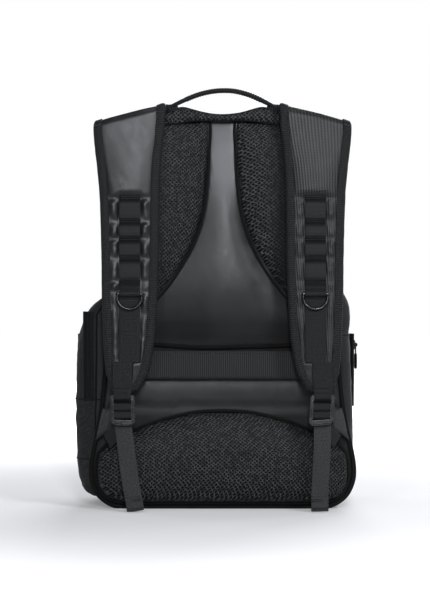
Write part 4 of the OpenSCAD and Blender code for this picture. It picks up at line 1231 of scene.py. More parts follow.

# dark seam tape tucked round the foot of each pad; its near-black colour, and the lumbar one's greater width, also
# stand in for the shade line at each pad's foot (painted shade)
def pad_seam_shade(name, outline, r=1.6):
    O = resample(outline, 170, True)
    a2 = 0.5 * np.sum(O[:, 0] * np.roll(O[:, 1], -1) - np.roll(O[:, 0], -1) * O[:, 1])
    N = outline_normals(O) * (1 if a2 > 0 else -1)
    P = O - N * (r * 0.45)
    y = panel_y(P[:, 0], P[:, 1])
    Q = np.stack([P[:, 0], np.minimum(y, -84.4) - 0.9, np.maximum(P[:, 1], 4.2)], 1)
    V, F, UV = tube(Q, r, 8, up=(0, -1, 0), closed=True)
    mk(name, V, F, 'piping', "pack", UV)

pad_seam_shade("pad_seam_left", UP * [-1, 1])
pad_seam_shade("pad_seam_right", UP)
pad_seam_shade("lumbar_seam_shade", LUM, 2.3)

def shadow_gap_binding():
    """A near-black tube along the padded channel's lower edge, tucked in just above the band: a binding that also
    stands in for the shadow line there (painted shade).
    """
    x = np.linspace(-86, 86, 90)
    z = 196.0 + 3.4 * (np.abs(x) / 86) ** 2 + 0.5 * np.sin(x / 17)
    P = np.stack([x, panel_y(x, z) - 1.0, z], 1)
    V, F, UV = tube(P, 2.8, 10, up=(0, -1, 0), sx=1.0, sy=0.8)
    mk("channel_binding_shadow", V, F, 'piping', "pack", UV)

shadow_gap_binding()

# ------------------------------------------------------------------ collar, strap roots, handle
def collar():
    top = cr([[-71.5, 477.6], [-66, 480.4], [-59, 483.2], [-52, 485.5], [-45, 485.6], [-36, 483.2], [-23, 479.8], [-11, 477.8], [0, 477.2], [11, 477.8], [23, 479.6], [36, 483.2], [45, 485.6], [52, 485.5], [59, 483.2], [66, 480.4], [71.5, 477.6]], 6)
    low = cr([[-71.5, 464], [-66, 464.5], [-59, 465], [-52, 466], [-45, 467.2], [-36, 468.6], [-23, 469.2], [-11, 469.2], [0, 469], [11, 469.2], [23, 469.2], [36, 468.6], [45, 467.2], [52, 466], [59, 465], [66, 464.5], [71.5, 464]], 6)
    a = np.linspace(0, TAU, 28, endpoint=False)
    rings = []
    for i, (t, l) in enumerate(zip(top, low)):
        zc, hz = (t[1] + l[1]) / 2, (t[1] - l[1]) / 2
        e = min(1.0, min(i, len(top) - 1 - i) / 5 + 0.35)
        c, q = np.cos(a), np.sin(a)
        yy = -89.9 + 5.6 * e * np.sign(c) * np.abs(c) ** 0.75
        zz = zc + hz * np.sign(q) * np.abs(q) ** 0.75
        rings.append(np.stack([np.full(28, (t[0] + l[0]) / 2), yy, zz], 1))
    R = np.array(rings)
    nz = fold_noise(R.reshape(-1, 3), 15.0, 61, 2).reshape(R.shape[:2])
    R[..., 1] -= nz * 0.6
    V, F, UV = loft(R)
    o = mk("collar_roll", V, F, 'mesh', "pack", UV, rep=["neck_collar"])
    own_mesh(o)
    parts = []
    for line, dy in ((low, -2.2), (top, 0.0)):
        P = np.stack([line[:, 0], np.full(len(line), -93.0 + (1.5 if dy == 0 else 0)), line[:, 1] + (0.6 if dy else -0.6)], 1)
        parts.append(tube(P, 1.05, 8, up=(0, -1, 0)))
    V, F, UV = join(parts)
    o = mk("collar_piping", V, F, 'piping', "pack", UV)
    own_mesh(o)

collar()

def root(s, n):
    k = 0.256
    xs = np.linspace(70, 154.5, 34)
    rings = []
    for i, x in enumerate(xs):
        z = 469 - k * (x - 112)
        e = min(1.0, min(i, len(xs) - 1 - i) / 3 + 0.4)
        pts = [(-84.4, -8), (-84.4, 0), (-84.4, 6.8), (-85.4, 8.0), (-87.2, 8.3), (-89.0, 7.9), (-90.0, 7.6), (-89.4, 4.5), (-88.2, 1.0), (-87.3, -3.5), (-87.2, -8)]
        rings.append([(s * x, -84.4 + (y + 84.4) * e, z + q * (0.75 + 0.25 * e)) for y, q in pts])
    R = np.array(rings)
    nz = fold_noise(R.reshape(-1, 3), 9.0, 71 + s, 2).reshape(R.shape[:2])
    R[:, 1:-1, 2] += 0.3 * nz[:, 1:-1]
    V, F, UV = loft(R)
    mk("strap_root_seam_" + n, V, F, 'coat_l' if s < 0 else 'coat_r', "pack", UV, rep=["strap_root_" + n])
    P = np.array([(s * x, -86.0, 469 - k * (x - 112) + 8.25) for x in np.linspace(74, 151, 30)])
    stitches("strap_root_stitches_" + n, [(P, (0, -0.2, 1))], "pack", pitch=3.2, length=2.4, r=0.32)

for s, n in ((-1, "left"), (1, "right")):
    root(s, n)

def handle():
    H = cr([[-66, 484.5], [-57, 489.5], [-44, 496], [-28, 502.2], [-12, 505.8], [2, 506.8], [16, 505.8], [32, 501.6], [48, 494.6], [59, 488.6], [66, 484.8]], 6)
    P = np.stack([H[:, 0], np.full(len(H), -90.0), H[:, 1]], 1)
    t = np.minimum(np.arange(len(P)), np.arange(len(P))[::-1]) / 6.0
    w = 6.2 + 3.8 * smooth(t, 0.4, 1.8)
    th = 1.8 + 0.15 * smooth(t, 1.2, 2.4)
    P[:, 2] -= 0.7 * smooth(t, 0.4, 2.0)
    V, F, UV = loft(ribbon(P, (0, 0, 1), w, th, S=(0, 1, 0)))
    mk("grab_handle", V, F, 'web_h', "handle", UV, rep=["haul_handle"])
    runs = []
    T, B, N = frames(P, (0, 0, 1))
    for q in (-8.3, 8.3):
        sel = slice(12, len(P) - 12)
        pp = P[sel] + np.array([0, q, 0]) + N[sel] * 1.97
        runs.append((pp, N[sel]))
        runs.append((P[sel] + np.array([0, q, 0]) - N[sel] * 1.97, -N[sel]))
    stitches("handle_stitches", runs, "handle", slot='webbing', pitch=3.2, length=2.4, r=0.33)
    runs = []
    for i in (10, 12, len(P) - 13, len(P) - 11):
        pp = np.stack([np.full(7, P[i, 0]), np.linspace(-97, -83, 7), np.full(7, P[i, 2])], 1) + N[i] * (th[i] + 0.05)
        runs.append((pp, N[i]))
    bar_line("handle_tacks", runs, "handle", 0.42)
    # rolled ends, where each end turns down into its seam
    parts = []
    for sx in (-1, 1):
        xs = np.array([53.5, 54.2, 55.5, 57.5, 60, 62.5, 65, 67.0, 68.5, 69.0])
        rr = np.array([2.0, 3.4, 4.5, 5.1, 5.2, 5.0, 5.0, 5.0, 4.8, 4.2])
        c = np.stack([sx * xs, np.full(10, -90.0), np.full(10, 484.5)], 1)
        V, F, UV = tube(c, rr, 20, up=(0, 0, 1))
        w = fold_noise(V * [1.0, 0.6, 0.6], 4.0, 120 + sx, 2)
        ax = V - np.stack([V[:, 0], np.full(len(V), -90.0), np.full(len(V), 484.5)], 1)
        V = V + ax * (0.07 * w)[:, None]
        parts.append((V, F, UV))
    V, F, UV = join(parts)
    mk("handle_end_rolls", V, F, 'tape', "handle", UV)

handle()

# ------------------------------------------------------------------ luggage band
def band():
    X = np.concatenate([np.linspace(-134, -122, 4), np.linspace(-119, -100, 8), np.linspace(-96, 96, 60), np.linspace(100, 119, 8), np.linspace(122, 134, 4)])
    y = np.interp(np.abs(X), [0, 94, 98, 121, 123, 134], [-98.9, -98.4, -97.9, -86.1, -85.7, -85.7])
    zz = np.linspace(158.3, 191.7, 15)
    R = []
    for i, x in enumerate(X):
        bow = 0.5 * math.cos(x / 98 * math.pi / 2) if abs(x) < 98 else 0
        f = np.stack([np.full(15, x), y[i] + bow * ((zz - 175) / 17) ** 2 - 0.25 * np.cos((zz - 175) / 17 * math.pi / 2), zz], 1)
        b = f[::-1] + [0, 1.5, 0]
        R.append(np.vstack([f, b]))
    R = np.array(R)
    m, n = R.shape[:2]
    V, F = R.reshape(-1, 3), []
    UV = []
    s = np.concatenate([[0], np.cumsum(np.linalg.norm(np.diff(R[:, 7], axis=0), axis=1))])
    for j in range(m - 1):
        for i in range(n):
            a, b = j * n + i, j * n + (i + 1) % n
            F.append((a, b, b + n, a + n))
            UV += [(s[j], V[a, 2]), (s[j], V[b, 2]), (s[j + 1], V[b, 2]), (s[j + 1], V[a, 2])]
    for j, o in ((0, 1), (m - 1, -1)):
        f = tuple(j * n + i for i in range(n))
        F.append(f if o > 0 else f[::-1])
        UV += [(s[j], V[q, 2]) for q in F[-1]]
    mk("luggage_sleeve_band", V, F, 'rib', "pack", UV, rep=["trolley_band"])
    sel = np.abs(X) < 132
    runs = []
    for q in (189.6, 160.4):
        runs.append((np.stack([X[sel], y[sel] - 0.45, np.full(sel.sum(), q)], 1), (0, -1, 0)))
    stitches("band_stitches", runs, "pack", slot='webbing', pitch=3.2, length=2.3, r=0.3)
    runs = []
    for sx in (-1, 1):
        for x in (124.5, 127.0):
            runs.append((np.stack([np.full(10, sx * x), np.full(10, -86.45), np.linspace(160.5, 189.5, 10)], 1), (0, -1, 0)))
    bar_line("band_tacks", runs, "pack", 0.42)

band()

# ------------------------------------------------------------------ the bag's skin
BO = resample(full_body, 260, True)
BN = outline_normals(BO)
def lean_f(z): return 1 - 0.3 * np.maximum(0, (z - 180) / 280) ** 1.5
def front_y(z): return 12 + 68 * lean_f(z)

def skin(name, stations, body, mat, cuts, thick, rep, bulge=1.6, seed=0, front=False):
    """Outer cloth over the closed outline; stations are (y, inset)."""
    rings = []
    for y, i in stations:
        sc = np.array([1 - i / 158.0, 1 - i / 232.0])
        P = np.array([0, 232.0]) + (BO - [0, 232.0]) * sc
        if front:
            yy = 12 + (y - 12) * lean_f(P[:, 1])
        else:
            yy = np.full(len(P), float(y))
        rings.append(np.stack([P[:, 0], yy, P[:, 1]], 1))
    R = np.array(rings)
    N3 = np.stack([BN[:, 0], np.zeros(len(BN)), BN[:, 1]], 1)
    ys = np.array([y for y, _ in stations], float)
    ins = np.array([i for _, i in stations], float)
    nz = fold_noise((R.reshape(-1, 3)) * [1, 1.4, .55], 34.0, seed, 3).reshape(R.shape[:2])
    lo = smooth(R[..., 2], 3, 12)
    if not front:
        w = np.sin(np.pi * (ys - ys[0]) / (ys[-1] - ys[0]))[:, None]
        R += N3[None] * ((w * (bulge + 1.3 * nz)) * lo)[..., None]
    else:
        w = np.clip((ys - 12) / 6, 0, 1)[:, None] * np.clip((80 - ys) / 10, 0, 1)[:, None]
        R += N3[None] * ((w * 1.1 * nz) * lo)[..., None]
        wf = np.clip((ins - 8) / 20, 0, 1)[:, None]
        R[..., 1] += wf * 1.0 * np.minimum(nz, 0.2) - wf * 0.6
    R[..., 2] = np.maximum(R[..., 2], 1.0)
    m, n = R.shape[:2]
    V = R.reshape(-1, 3)
    F = [(j * n + i, j * n + (i + 1) % n, (j + 1) * n + (i + 1) % n, (j + 1) * n + i) for j in range(m - 1) for i in range(n)]
    if front:
        c = len(V)
        V = np.vstack([V, R[-1].mean(0)[None]])
        F += [((m - 1) * n + i, (m - 1) * n + (i + 1) % n, c) for i in range(n)]
    me = bpy.data.meshes.new(name)
    me.from_pydata((V * MM).tolist(), [], F)
    ob = bpy.data.objects.new(name, me)
    scene.collection.objects.link(ob)
    me.materials.append(M[mat])
    cut(ob, cuts)
    bm = bmesh.new(); bm.from_mesh(ob.data)
    bmesh.ops.recalc_face_normals(bm, faces=bm.faces)
    out = sum((f.normal.x * f.calc_center_median().x + f.normal.z * (f.calc_center_median().z - 0.232) + f.normal.y * f.calc_center_median().y) * f.calc_area() for f in bm.faces)
    if out < 0:
        bmesh.ops.reverse_faces(bm, faces=bm.faces)
    bm.to_mesh(ob.data); bm.free()
    solidify(ob, thick)
    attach(ob, body)
    if rep:
        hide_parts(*rep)
    return ob

GY = [(y, 0) for y in np.linspace(-80.2, 3.7, 15)]
skin("gusset_left", GY, "pack", 'ripstop', [((0, 0, 44.3), (0, 0, -1)), ((0, 0, 415), (0, 0, 1)), ((0, 0, 0), (1, 0, 0))], 2.4, ["side_wall_left"], seed=1)
skin("gusset_right", GY, "pack", 'ripstop', [((0, 0, 44.3), (0, 0, -1)), ((0, 0, 415), (0, 0, 1)), ((0, 0, 0), (-1, 0, 0))], 2.4, ["side_wall_right"], seed=2)
skin("gusset_top", GY, "pack", 'ripstop', [((0, 0, 414.2), (0, 0, -1))], 2.4, ["top_wall"], seed=3)
FS = cr([[12, 0], [38, 0], [56, 1.5], [67, 5], [74, 11], [78.5, 20], [80, 30]], 4)
FS_ALL = [tuple(p) for p in FS] + [(80, i) for i in (38, 48, 60, 72, 84, 96, 108, 120, 132, 142, 150)]
skin("front_cover", [(12.4, 0)] + FS_ALL[1:], "front", 'ripstop', [((0, 0, 44.8), (0, 0, -1))], 2.4, ["front_shell"], seed=4, front=True)
skin("boot_rear", [(y, 0) for y in np.linspace(-80.2, 11.8, 15)], "pack", 'boot', [((0, 0, 44.0), (0, 0, 1))], 2.5, ["base_boot"], bulge=0.5, seed=5)
skin("boot_front", FS_ALL, "pack", 'boot', [((0, 0, 43.9), (0, 0, 1))], 2.5, [], seed=6, front=True)

def hinge_web():
    """Cloth strip sewn inside the boot and the front shell."""
    zs = np.linspace(35.5, 52.5, 18)
    rings = []
    for x in np.linspace(-125, 125, 64):
        rip = 0.18 * np.sin(x / 5.3 + zs * 0.5)
        a = np.stack([np.full(18, x), 76.9 + rip, zs], 1)
        b = np.stack([np.full(18, x), 76.1 + rip, zs], 1)[::-1]
        rings.append(np.vstack([a, b]))
    V, F, UV = loft(np.array(rings))
    o = mk("front_hinge_web", V, F, 'boot', None, UV)
    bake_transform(o)

hinge_web()

def outline_path(y, off, z0, z1, n=420):
    """Open run of the body outline above z0: from the left side, over the top, to the right."""
    O = resample(full_body, n, True)
    N = outline_normals(O)
    P = O + N * off
    hi = (P[:, 1] > z0) & (P[:, 1] < z1)
    k = int(np.nonzero(hi & ~np.roll(hi, 1))[0][0])
    idx = (np.arange(n) + k) % n
    idx = idx[: int(hi.sum())]
    Q = np.stack([P[idx, 0], np.full(len(idx), float(y)), P[idx, 1]], 1)
    U = np.stack([N[idx, 0], np.zeros(len(idx)), N[idx, 1]], 1)
    return Q, U

def zip_tape(name, y0, y1, body, z0, rep):
    Q, U = outline_path((y0 + y1) / 2, 0.0, z0, 600)
    R = []
    hw = (y1 - y0) / 2
    for p, u in zip(Q, U):
        R.append([p + u * a + np.array([0, b * hw, 0]) for a, b in ((-2.6, -1), (-0.4, -1), (0.25, -0.9), (0.3, 0), (0.25, 0.9), (-0.4, 1), (-2.6, 1))])
    V, F, UV = loft(np.array(R))
    mk(name, V, F, 'ziptape', body, UV, rep=rep)

zip_tape("main_zip_tape_rear", 4.1, 7.75, "pack", 45, ["main_zip_rear"])
zip_tape("main_zip_tape_front", 8.25, 11.9, "front", 45.2, ["main_zip_front"])
Q, U = outline_path(7.0, 0.3, 46, 600, 700)
teeth(Q, U, None, "pack", "main_zip_coil_rear", 2.4, 1.7, 1.4, 1.0)
Q, U = outline_path(9.0, 0.3, 46.5, 600, 700)
teeth(Q, U, None, "front", "main_zip_coil_front", 2.4, 1.7, 1.4, 1.0)
# piping where gusset meets front face, and the rain flap edge by the zip
parts = []
for y, off, r in ((66, -4.2, 1.7),):
    O = resample(full_body, 420, True)
    sc = np.array([1 - 4.4 / 158.0, 1 - 4.4 / 232.0])
    P = np.array([0, 232.0]) + (O - [0, 232.0]) * sc
    yy = 12 + (66 - 12) * lean_f(P[:, 1])
    hi = P[:, 1] > 46
    k = int(np.nonzero(hi & ~np.roll(hi, 1))[0][0])
    idx = ((np.arange(420) + k) % 420)[: int(hi.sum())]
    parts.append(tube(np.stack([P[idx, 0], yy[idx] + 0.6, P[idx, 1] + 0.0], 1) * [1.004, 1, 1], r, 10, up=(0, 1, 0)))
V, F, UV = join(parts)
mk("front_edge_piping", V, F, 'piping', "front", UV)
Q, U = outline_path(2.0, 1.0, 46, 600)
V, F, UV = tube(Q, 1.35, 8, up=(0, -1, 0), sx=0.8, sy=1.4)
mk("zip_welt_rear", V, F, 'piping', "pack", UV)
Q, U = outline_path(14.2, 0.8, 46, 600)
V, F, UV = tube(Q, 1.25, 8, up=(0, -1, 0), sx=0.8, sy=1.4)
mk("zip_welt_front", V, F, 'piping', "front", UV)
# boot seam with two stitch rows
runs = []
for z in (41.6, 38.8):
    for sx in (-1, 1):
        x = float(wall_x(z))
        runs.append((np.array([(sx * (x + 0.75), yy, z) for yy in np.linspace(-76, 9, 30)]), (sx, 0, 0)))
stitches("boot_stitches", runs, "pack", pitch=3.6, length=2.6, r=0.35)

def skid():
    f = lambda P: np.stack([P[:, 0], P[:, 2] - 6, 0.15 + 0.95 + P[:, 1]], 1)
    outer = rrect(-112, -68, 112, 68, 12.7, 3)
    holes = [rrect(x - 2.0, -48, x + 2.0, 48, 1.9, 5) for x in range(-90, 91, 18)]
    plate("base_plate_ribbed", outer, holes, 1.9, 0.45, 'skid', "pack", f, rep=["base_skid"])
skid()

def divider():
    o = np.array([[-128, 8], [128, 8], [128, 300], [112, 330], [-112, 330], [-128, 300]], float)
    xs, zs = np.linspace(-1, 1, 40), np.linspace(0, 1, 46)
    top = lambda x: np.interp(abs(x), [0, 112, 128], [330, 330, 300])
    f, b = [], []
    for u in xs:
        x = u * 127.8
        z = 8.2 + (top(x) - 8.4) * zs
        q = np.stack([np.full(46, x), np.zeros(46), z], 1)
        w = fold_noise(q, 45.0, 81, 2) * np.sin(np.pi * zs) * np.cos(u * math.pi / 2)
        f.append(np.stack([np.full(46, x), -57.7 + 0.5 * w, z], 1))
        b.append(np.stack([np.full(46, x), -55.3 + 0.5 * w, z], 1))
    R = np.array([np.vstack([p, q[::-1]]) for p, q in zip(f, b)])
    V, F, UV = loft(R)
    d = mk("sleeve_divider_panel", V, F, 'lining', "pack", UV, rep=["sleeve_divider"])
    P = cr([[-127.5, -56.5, 250], [-127.5, -56.5, 300], [-112, -56.5, 329.6], [0, -56.5, 329.8], [112, -56.5, 329.6], [127.5, -56.5, 300], [127.5, -56.5, 250]], 12)
    V, F, UV = tube(P, 2.2, 10, up=(0, -1, 0))
    mk("divider_binding", V, F, 'tape', "pack", UV)
divider()

# ------------------------------------------------------------------ side pockets
def side_pocket(s, n, sta0, rows, seed):
    sta = cr(sta0, 6)
    R = []
    for z, X in sta:
        w = float(wall_x(z)) + 1.0
        X = max(X, w + 0.6)
        pts = [(w, -77), (min(156, max(X - 12, w + 1)), -77), (min(168, max(X - 3, w + 1.4)), -68), (X - .8, -57), (X, -44), (X, -24), (X - 2.5, -12), (w + (X - w) * 0.62, -3), (w, -0.6)]
        pts = [(max(a, w), b) for a, b in pts]
        c = cr(pts, 5)
        R.append(np.stack([np.maximum(c[:, 0], w), c[:, 1], np.full(len(c), z)], 1))
    R = np.array(R)
    nz = fold_noise(R.reshape(-1, 3) * [1, 1, .8], 26.0, seed, 3).reshape(R.shape[:2])
    nz2 = fold_noise(R.reshape(-1, 3) * [1, .5, 1.6], 13.0, seed + 4, 2).reshape(R.shape[:2])
    mid = np.sin(np.pi * np.linspace(0, 1, R.shape[1]))[None] * np.sin(np.pi * np.linspace(0, 1, R.shape[0]))[:, None] ** 0.4
    R[..., 0] += (1.5 * nz + 0.5 * nz2) * mid
    R[..., 1] += 0.7 * nz2 * mid
    R = R * [s, 1, 1]
    V, F, UV = loft(R)
    o = mk("pocket_%s" % n, V, F, 'woven', "pack", UV, rep=["side_pocket_" + n])
    # seams across the pocket
    parts, runs = [], []
    for z in rows:
        i = int(np.argmin(np.abs(sta[:, 0] - z)))
        P = R[i][2:-1]
        out = np.stack([np.full(len(P), s * 0.8), np.zeros(len(P)), np.zeros(len(P))], 1)
        parts.append(tube(P - out * 0.2, 0.75, 8, up=(0, 0, 1)))
        for dz in (-2.6,):
            j = int(np.argmin(np.abs(sta[:, 0] - (z + dz))))
            runs.append((R[j][3:-2] + out[1:-1] * 0.6, (s, 0, 0)))
    col = R[:, 6]
    parts.append(tube(R[3:-3, 4] + np.array([s * 0.3, -0.3, 0]), 1.1, 8, up=(s, 0, 0)))
    parts.append(tube(R[3:-3, -7] + np.array([s * 0.3, 0.2, 0]), 1.1, 8, up=(s, 0, 0)))
    V, F, UV = join(parts)
    mk("pocket_seams_" + n, V, F, 'piping', "pack", UV)
    stitches("pocket_stitches_" + n, runs, "pack", pitch=3.4, length=2.5, r=0.32)
    return R, sta

RL, SL = side_pocket(-1, "left", [[14, 160], [19, 168], [28, 173], [45, 177], [97, 179], [165, 179], [200, 177], [222, 172.5], [236, 167], [248, 157], [256, 146]], (131, 60), 91)
RR, SR = side_pocket(1, "right", [[40, 160.4], [60, 161], [97, 160.2], [137, 159], [181, 157.2], [208, 155.2], [214, 154.4], [223, 156], [243, 155.4], [256, 151.4], [268, 143.6]], (210, 66), 97)

def strip_zip(name, a, b, z0, z1, out, body, rep, pitch=2.2):
    """Vertical zip strip between two plan points a and b (x, y), facing out."""
    a, b, out = (np.array([*p, 0.0]) for p in (a, b, out))
    out = out / np.linalg.norm(out)
    zz = np.linspace(z0, z1, 40)
    mid = (a + b) / 2
    d = (b - a)
    L = np.linalg.norm(d)
    d = d / L
    R = []
    for z in zz:
        c = mid + np.array([0, 0, z])
        R.append([c + d * (q * L / 2) + out * h for q, h in ((-1, -0.5), (-1, 0.35), (-0.86, 0.75), (-0.5, 0.55), (-0.2, 0.25), (0, 0.2), (0.2, 0.25), (0.5, 0.55), (0.86, 0.75), (1, 0.35), (1, -0.5))])
    V, F, UV = loft(np.array(R))
    mk(name + "_tape", V, F, 'ziptape', body, UV, rep=rep)
    P = mid + np.stack([np.zeros(40), np.zeros(40), zz], 1) + out * 0.35
    teeth(P, out, None, body, name + "_coil", pitch, 2.6, 1.3, 0.95)
    parts = []
    for q in (-1, 1):
        parts.append(tube(mid + d * (q * L / 2 * 0.94) + out * 0.7 + np.stack([np.zeros(40), np.zeros(40), zz], 1), 0.75, 8, up=out))
    V, F, UV = join(parts)
    mk(name + "_edges", V, F, 'tape', body, UV)

strip_zip("pocket_rear_zip_left", (-157.5, -78.1), (-168.9, -69.6), 131, 239, (-0.6, -0.8), "pack", ["side_zip_left"])
strip_zip("pocket_front_zip_left", (-168.1, -1.0), (-178.9, -10.0), 120, 210, (-0.64, 0.768), "pack", [])
strip_zip("pocket_front_zip_right", (159.3, -0.9), (163.1, -10.3), 120, 210, (0.9265, 0.376), "pack", ["side_zip_right"])

# ------------------------------------------------------------------ front pocket
def front_pocket():
    st = cr([[64, 92, 12], [70, 99, 20], [82, 103, 24.5], [120, 104, 26], [180, 104, 25.5], [240, 102, 23], [275, 99, 19.5], [296, 94, 14], [303, 88, 8]], 6)
    K = 44
    R = []
    for z, w, b in st:
        y = front_y(z) + 0.5
        t = np.linspace(0, math.pi, K)
        c, q = np.cos(t), np.sin(t)
        x = w * np.sign(c) * np.abs(c) ** 0.45
        yy = y + b * np.maximum(q, 0) ** 0.5
        R.append(np.stack([x, yy, np.full(K, z)], 1))
    R = np.array(R)
    nz = fold_noise(R.reshape(-1, 3) * [1, 1, .8], 30.0, 111, 3).reshape(R.shape[:2])
    w = np.sin(np.pi * np.linspace(0, 1, K))[None] * np.sin(np.pi * np.linspace(0, 1, len(st)))[:, None] ** 0.4
    R[..., 1] += 1.4 * (nz - 0.3) * w
    V, F, UV = loft(R)
    o = mk("front_pocket_bag", V, F, 'ripstop', "front", UV, rep=["front_pocket"])
    parts = []
    for j in (6, -7):
        parts.append(tube(R[2:-2, j] + np.array([0, 0.4, 0]), 1.3, 8, up=(0, 1, 0)))
    for i in (7, -6):
        parts.append(tube(R[i, 5:-5] + np.array([0, 0.4, 0]), 1.3, 8, up=(0, 1, 0)))
    V, F, UV = join(parts)
    mk("front_pocket_piping", V, F, 'piping', "front", UV)
    base = [(R[k, 0], R[k, -1]) for k in (0,)]
    # zip
    zc = 252.0
    xs = np.linspace(-84, 84, 60)
    P = np.stack([xs, np.full(60, 101.75), np.full(60, zc)], 1)
    up = np.array([0, math.cos(math.radians(8.5)), math.sin(math.radians(8.5))])
    dn = np.array([0, -up[2], up[1]])
    Rr = [[p + dn * q * 6.2 + up * h for q, h in ((-1, -1.2), (-1, 0.3), (-0.86, 0.8), (-0.4, 0.5), (0, 0.2), (0.4, 0.5), (0.86, 0.8), (1, 0.3), (1, -1.2))] for p in P]
    V, F, UV = loft(np.array(Rr))
    mk("front_zip_tape", V, F, 'ziptape', "front", UV, rep=["front_pocket_zip"])
    teeth(P + up * 0.3, up, None, "front", "front_zip_coil", 2.2, 2.8, 1.3, 0.9)
    runs = [(P + dn * q * 5.2 + up * 0.75, up) for q in (-1, 1)]
    stitches("front_zip_stitches", runs, "front", pitch=3.4, length=2.5, r=0.3)
front_pocket()

# ------------------------------------------------------------------ sliders and pulls
def rotz(a):
    c, q = math.cos(math.radians(a)), math.sin(math.radians(a)); return np.array([[c, -q, 0], [q, c, 0], [0, 0, 1]])
def roty(a):
    c, q = math.cos(math.radians(a)), math.sin(math.radians(a)); return np.array([[c, 0, q], [0, 1, 0], [-q, 0, c]])
def rotx(a):
    c, q = math.cos(math.radians(a)), math.sin(math.radians(a)); return np.array([[1, 0, 0], [0, c, -q], [0, q, c]])

PLACES = {
    "main_left": (np.eye(3), np.array([-11, 8, 463.4]), 1), "main_right": (rotz(180), np.array([11, 8, 463.4]), 1),
    "side_left": (rotz(129.8) @ roty(90), None, -1), "side_right": (rotz(22.1) @ roty(90), None, -1),
    "front": (rotx(-81.5), None, 1)}
for k, base, up in (("side_left", [-173.2, -5.4, 196], 1.2), ("side_right", [161.2, -5.8, 196], 1.2), ("front", [70, 102.2, 252], 0.3)):
    R_, _, mx = PLACES[k]
    PLACES[k] = (R_, np.array(base, float) + R_ @ np.array([0, 0, up]), mx)

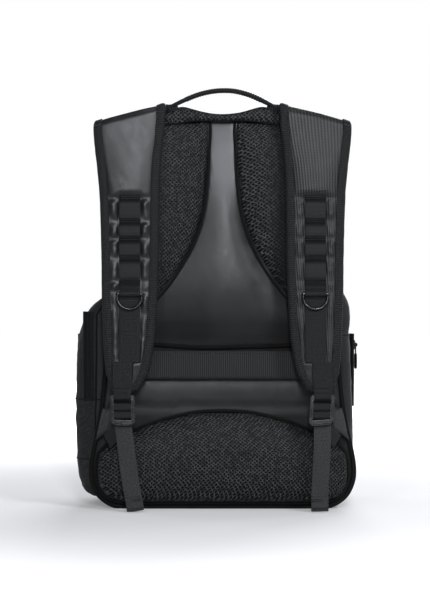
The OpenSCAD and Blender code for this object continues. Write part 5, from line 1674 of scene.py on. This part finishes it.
def slider(key, slider_body, pull_body):
    Rm, T0, mx = PLACES[key]
    W = lambda P: np.asarray(P, float).reshape(-1, 3) @ Rm.T + T0
    def part(vfu):
        V, F, UV = vfu
        return W(V), F, UV
    out = []
    sec = []
    for x in np.linspace(-6, 6, 15):
        w = 4.0 if x < 2 else 4.0 - 1.35 * ((x - 2) / 4) ** 1.4
        if x < -4.8: w = 4.0 - 0.7 * ((-4.8 - x) / 1.2) ** 2
        h = 2.15 if abs(x) < 5.4 else 1.85
        sec.append([(x, w * a, 0.05 + h * b) for a, b in ((-1, 0.1), (-1, 0.85), (-0.88, 1), (-0.3, 1.0), (0.3, 1.0), (0.88, 1), (1, 0.85), (1, 0.1), (0.9, 0), (-0.9, 0))])
    out.append(part(loft(np.array(sec))))
    for q in (-1, 1):
        a = np.linspace(0, math.pi, 12)
        P = np.stack([1.1 * np.cos(a), np.full(12, q * 2.25), 2.1 + 3.3 * np.sin(a) ** 0.7], 1)
        out.append(part(tube(P, 0.55, 8, up=(0, 1, 0))))
    out.append(part(tube(np.stack([np.zeros(6), np.linspace(-2.3, 2.3, 6), np.full(6, 4.6)], 1), 0.85, 12, up=(0, 0, 1))))
    V, F, UV = join(out)
    mk(slider_body + "_casting", V, F, 'slider', slider_body, UV, rep=[slider_body])
    out = []
    a = np.linspace(0, TAU, 22, endpoint=False)
    loop = np.stack([mx * (-4.1 + 5.4 * np.cos(a)), 1.15 * np.sin(a) * (1 + 0.0 * a), 4.6 + 1.35 * np.cos(a * 0 + 0) * 0 + 0.0 * a], 1)
    ring = np.stack([mx * (-1.9 - 3.4 + 4.4 * np.cos(a)), 1.05 * np.sin(a), np.full(22, 4.6)], 1)
    out.append(part(tube(np.stack([mx * 1.55 * np.cos(a), np.zeros(22), 4.6 + 1.55 * np.sin(a)], 1), 0.5, 8, up=(0, 1, 0), closed=True, sx=2.4)))
    V, F, UV = join(out)
    mk(pull_body + "_eye", V, F, 'slider', pull_body, UV)
    out = []
    xs = np.linspace(-1.9, -12, 8)
    out.append(part(tube(np.stack([mx * xs, np.zeros(8), np.full(8, 4.6)], 1), 0.85, 10, up=(0, 0, 1), sx=1.5, sy=0.85)))
    sec = []
    for x in np.linspace(-10.5, -30, 36):
        u = (x + 30) / 19.5
        w = 3.35 * min(1.0, (max(0.0, 1 - abs(2 * u - 1) ** 6)) ** 0.45 + 0.12)
        rib = 0.22 * (1 if (int((x + 30) * 1.25) % 2) else 0) * (0.12 < u < 0.8)
        h = 0.72 + rib
        sec.append([(mx * x, w * c_, 4.6 + h * s_) for c_, s_ in [(math.cos(t), math.copysign(abs(math.sin(t)) ** 0.6, math.sin(t))) for t in np.linspace(0, TAU, 16, endpoint=False)]])
    out.append(part(loft(np.array(sec))))
    V, F, UV = join(out)
    mk(pull_body + "_grip", V, F, 'pull', pull_body, UV, rep=[pull_body])

for key, a, b in (("main_left", "main_slider_left", "main_pull_left"), ("main_right", "main_slider_right", "main_pull_right"),
                  ("side_left", "side_slider_left", "side_pull_left"), ("side_right", "side_slider_right", "side_pull_right"),
                  ("front", "front_slider", "front_pull")):
    slider(key, a, b)

# ------------------------------------------------------------------ CAD nodes that stay
for nm, mt in (("frame_sheet", 'sheetp'), ("d_ring_left", 'ring'), ("d_ring_right", 'ring')):
    o = NODES[nm]
    o.data.materials.clear()
    o.data.materials.append(M[mt])
    for p in o.data.polygons:
        p.material_index = 0
        p.use_smooth = nm != "frame_sheet"

# ------------------------------------------------------------------ floor
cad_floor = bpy.data.meshes.new("floor")
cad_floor.from_pydata([(-6, -6, 0), (6, -6, 0), (6, 6, 0), (-6, 6, 0)], [], [(0, 1, 2, 3)])
fl = bpy.data.objects.new("floor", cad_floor)
scene.collection.objects.link(fl)
k = Mat("floor_paint")
u, v, o3 = k.coords('obj')
gn = k.noise(o3, 3.0, 3.0)
k.done(k.mix(gn, (0.58, 0.58, 0.58), (0.62, 0.62, 0.62)), k.math('MULTIPLY_ADD', gn, 0.1, 0.75), k.bump(k.noise(o3, 300.0, 2.0), 0.05, 0.0002), spec=0.1)
ln = k.n.new('ShaderNodeVectorMath'); ln.operation = 'LENGTH'
k.l.new(o3, ln.inputs[0])
# painted light: the floor glows, at a quarter strength close to the bag and rising to full strength a metre out so the
# bag's shadow shows, and only faintly to rays other than camera rays
k.b.inputs['Emission Color'].default_value = (1, 1, 1, 1)
lpf = k.n.new('ShaderNodeLightPath')
k.l.new(k.mul(k.ramp(ln.outputs['Value'], 0.25, 1.25, 0.25, 1.0), k.ramp(lpf.outputs['Is Camera Ray'], 0.0, 1.0, 0.04, 1.0)), k.b.inputs['Emission Strength'])
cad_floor.materials.append(k.m)
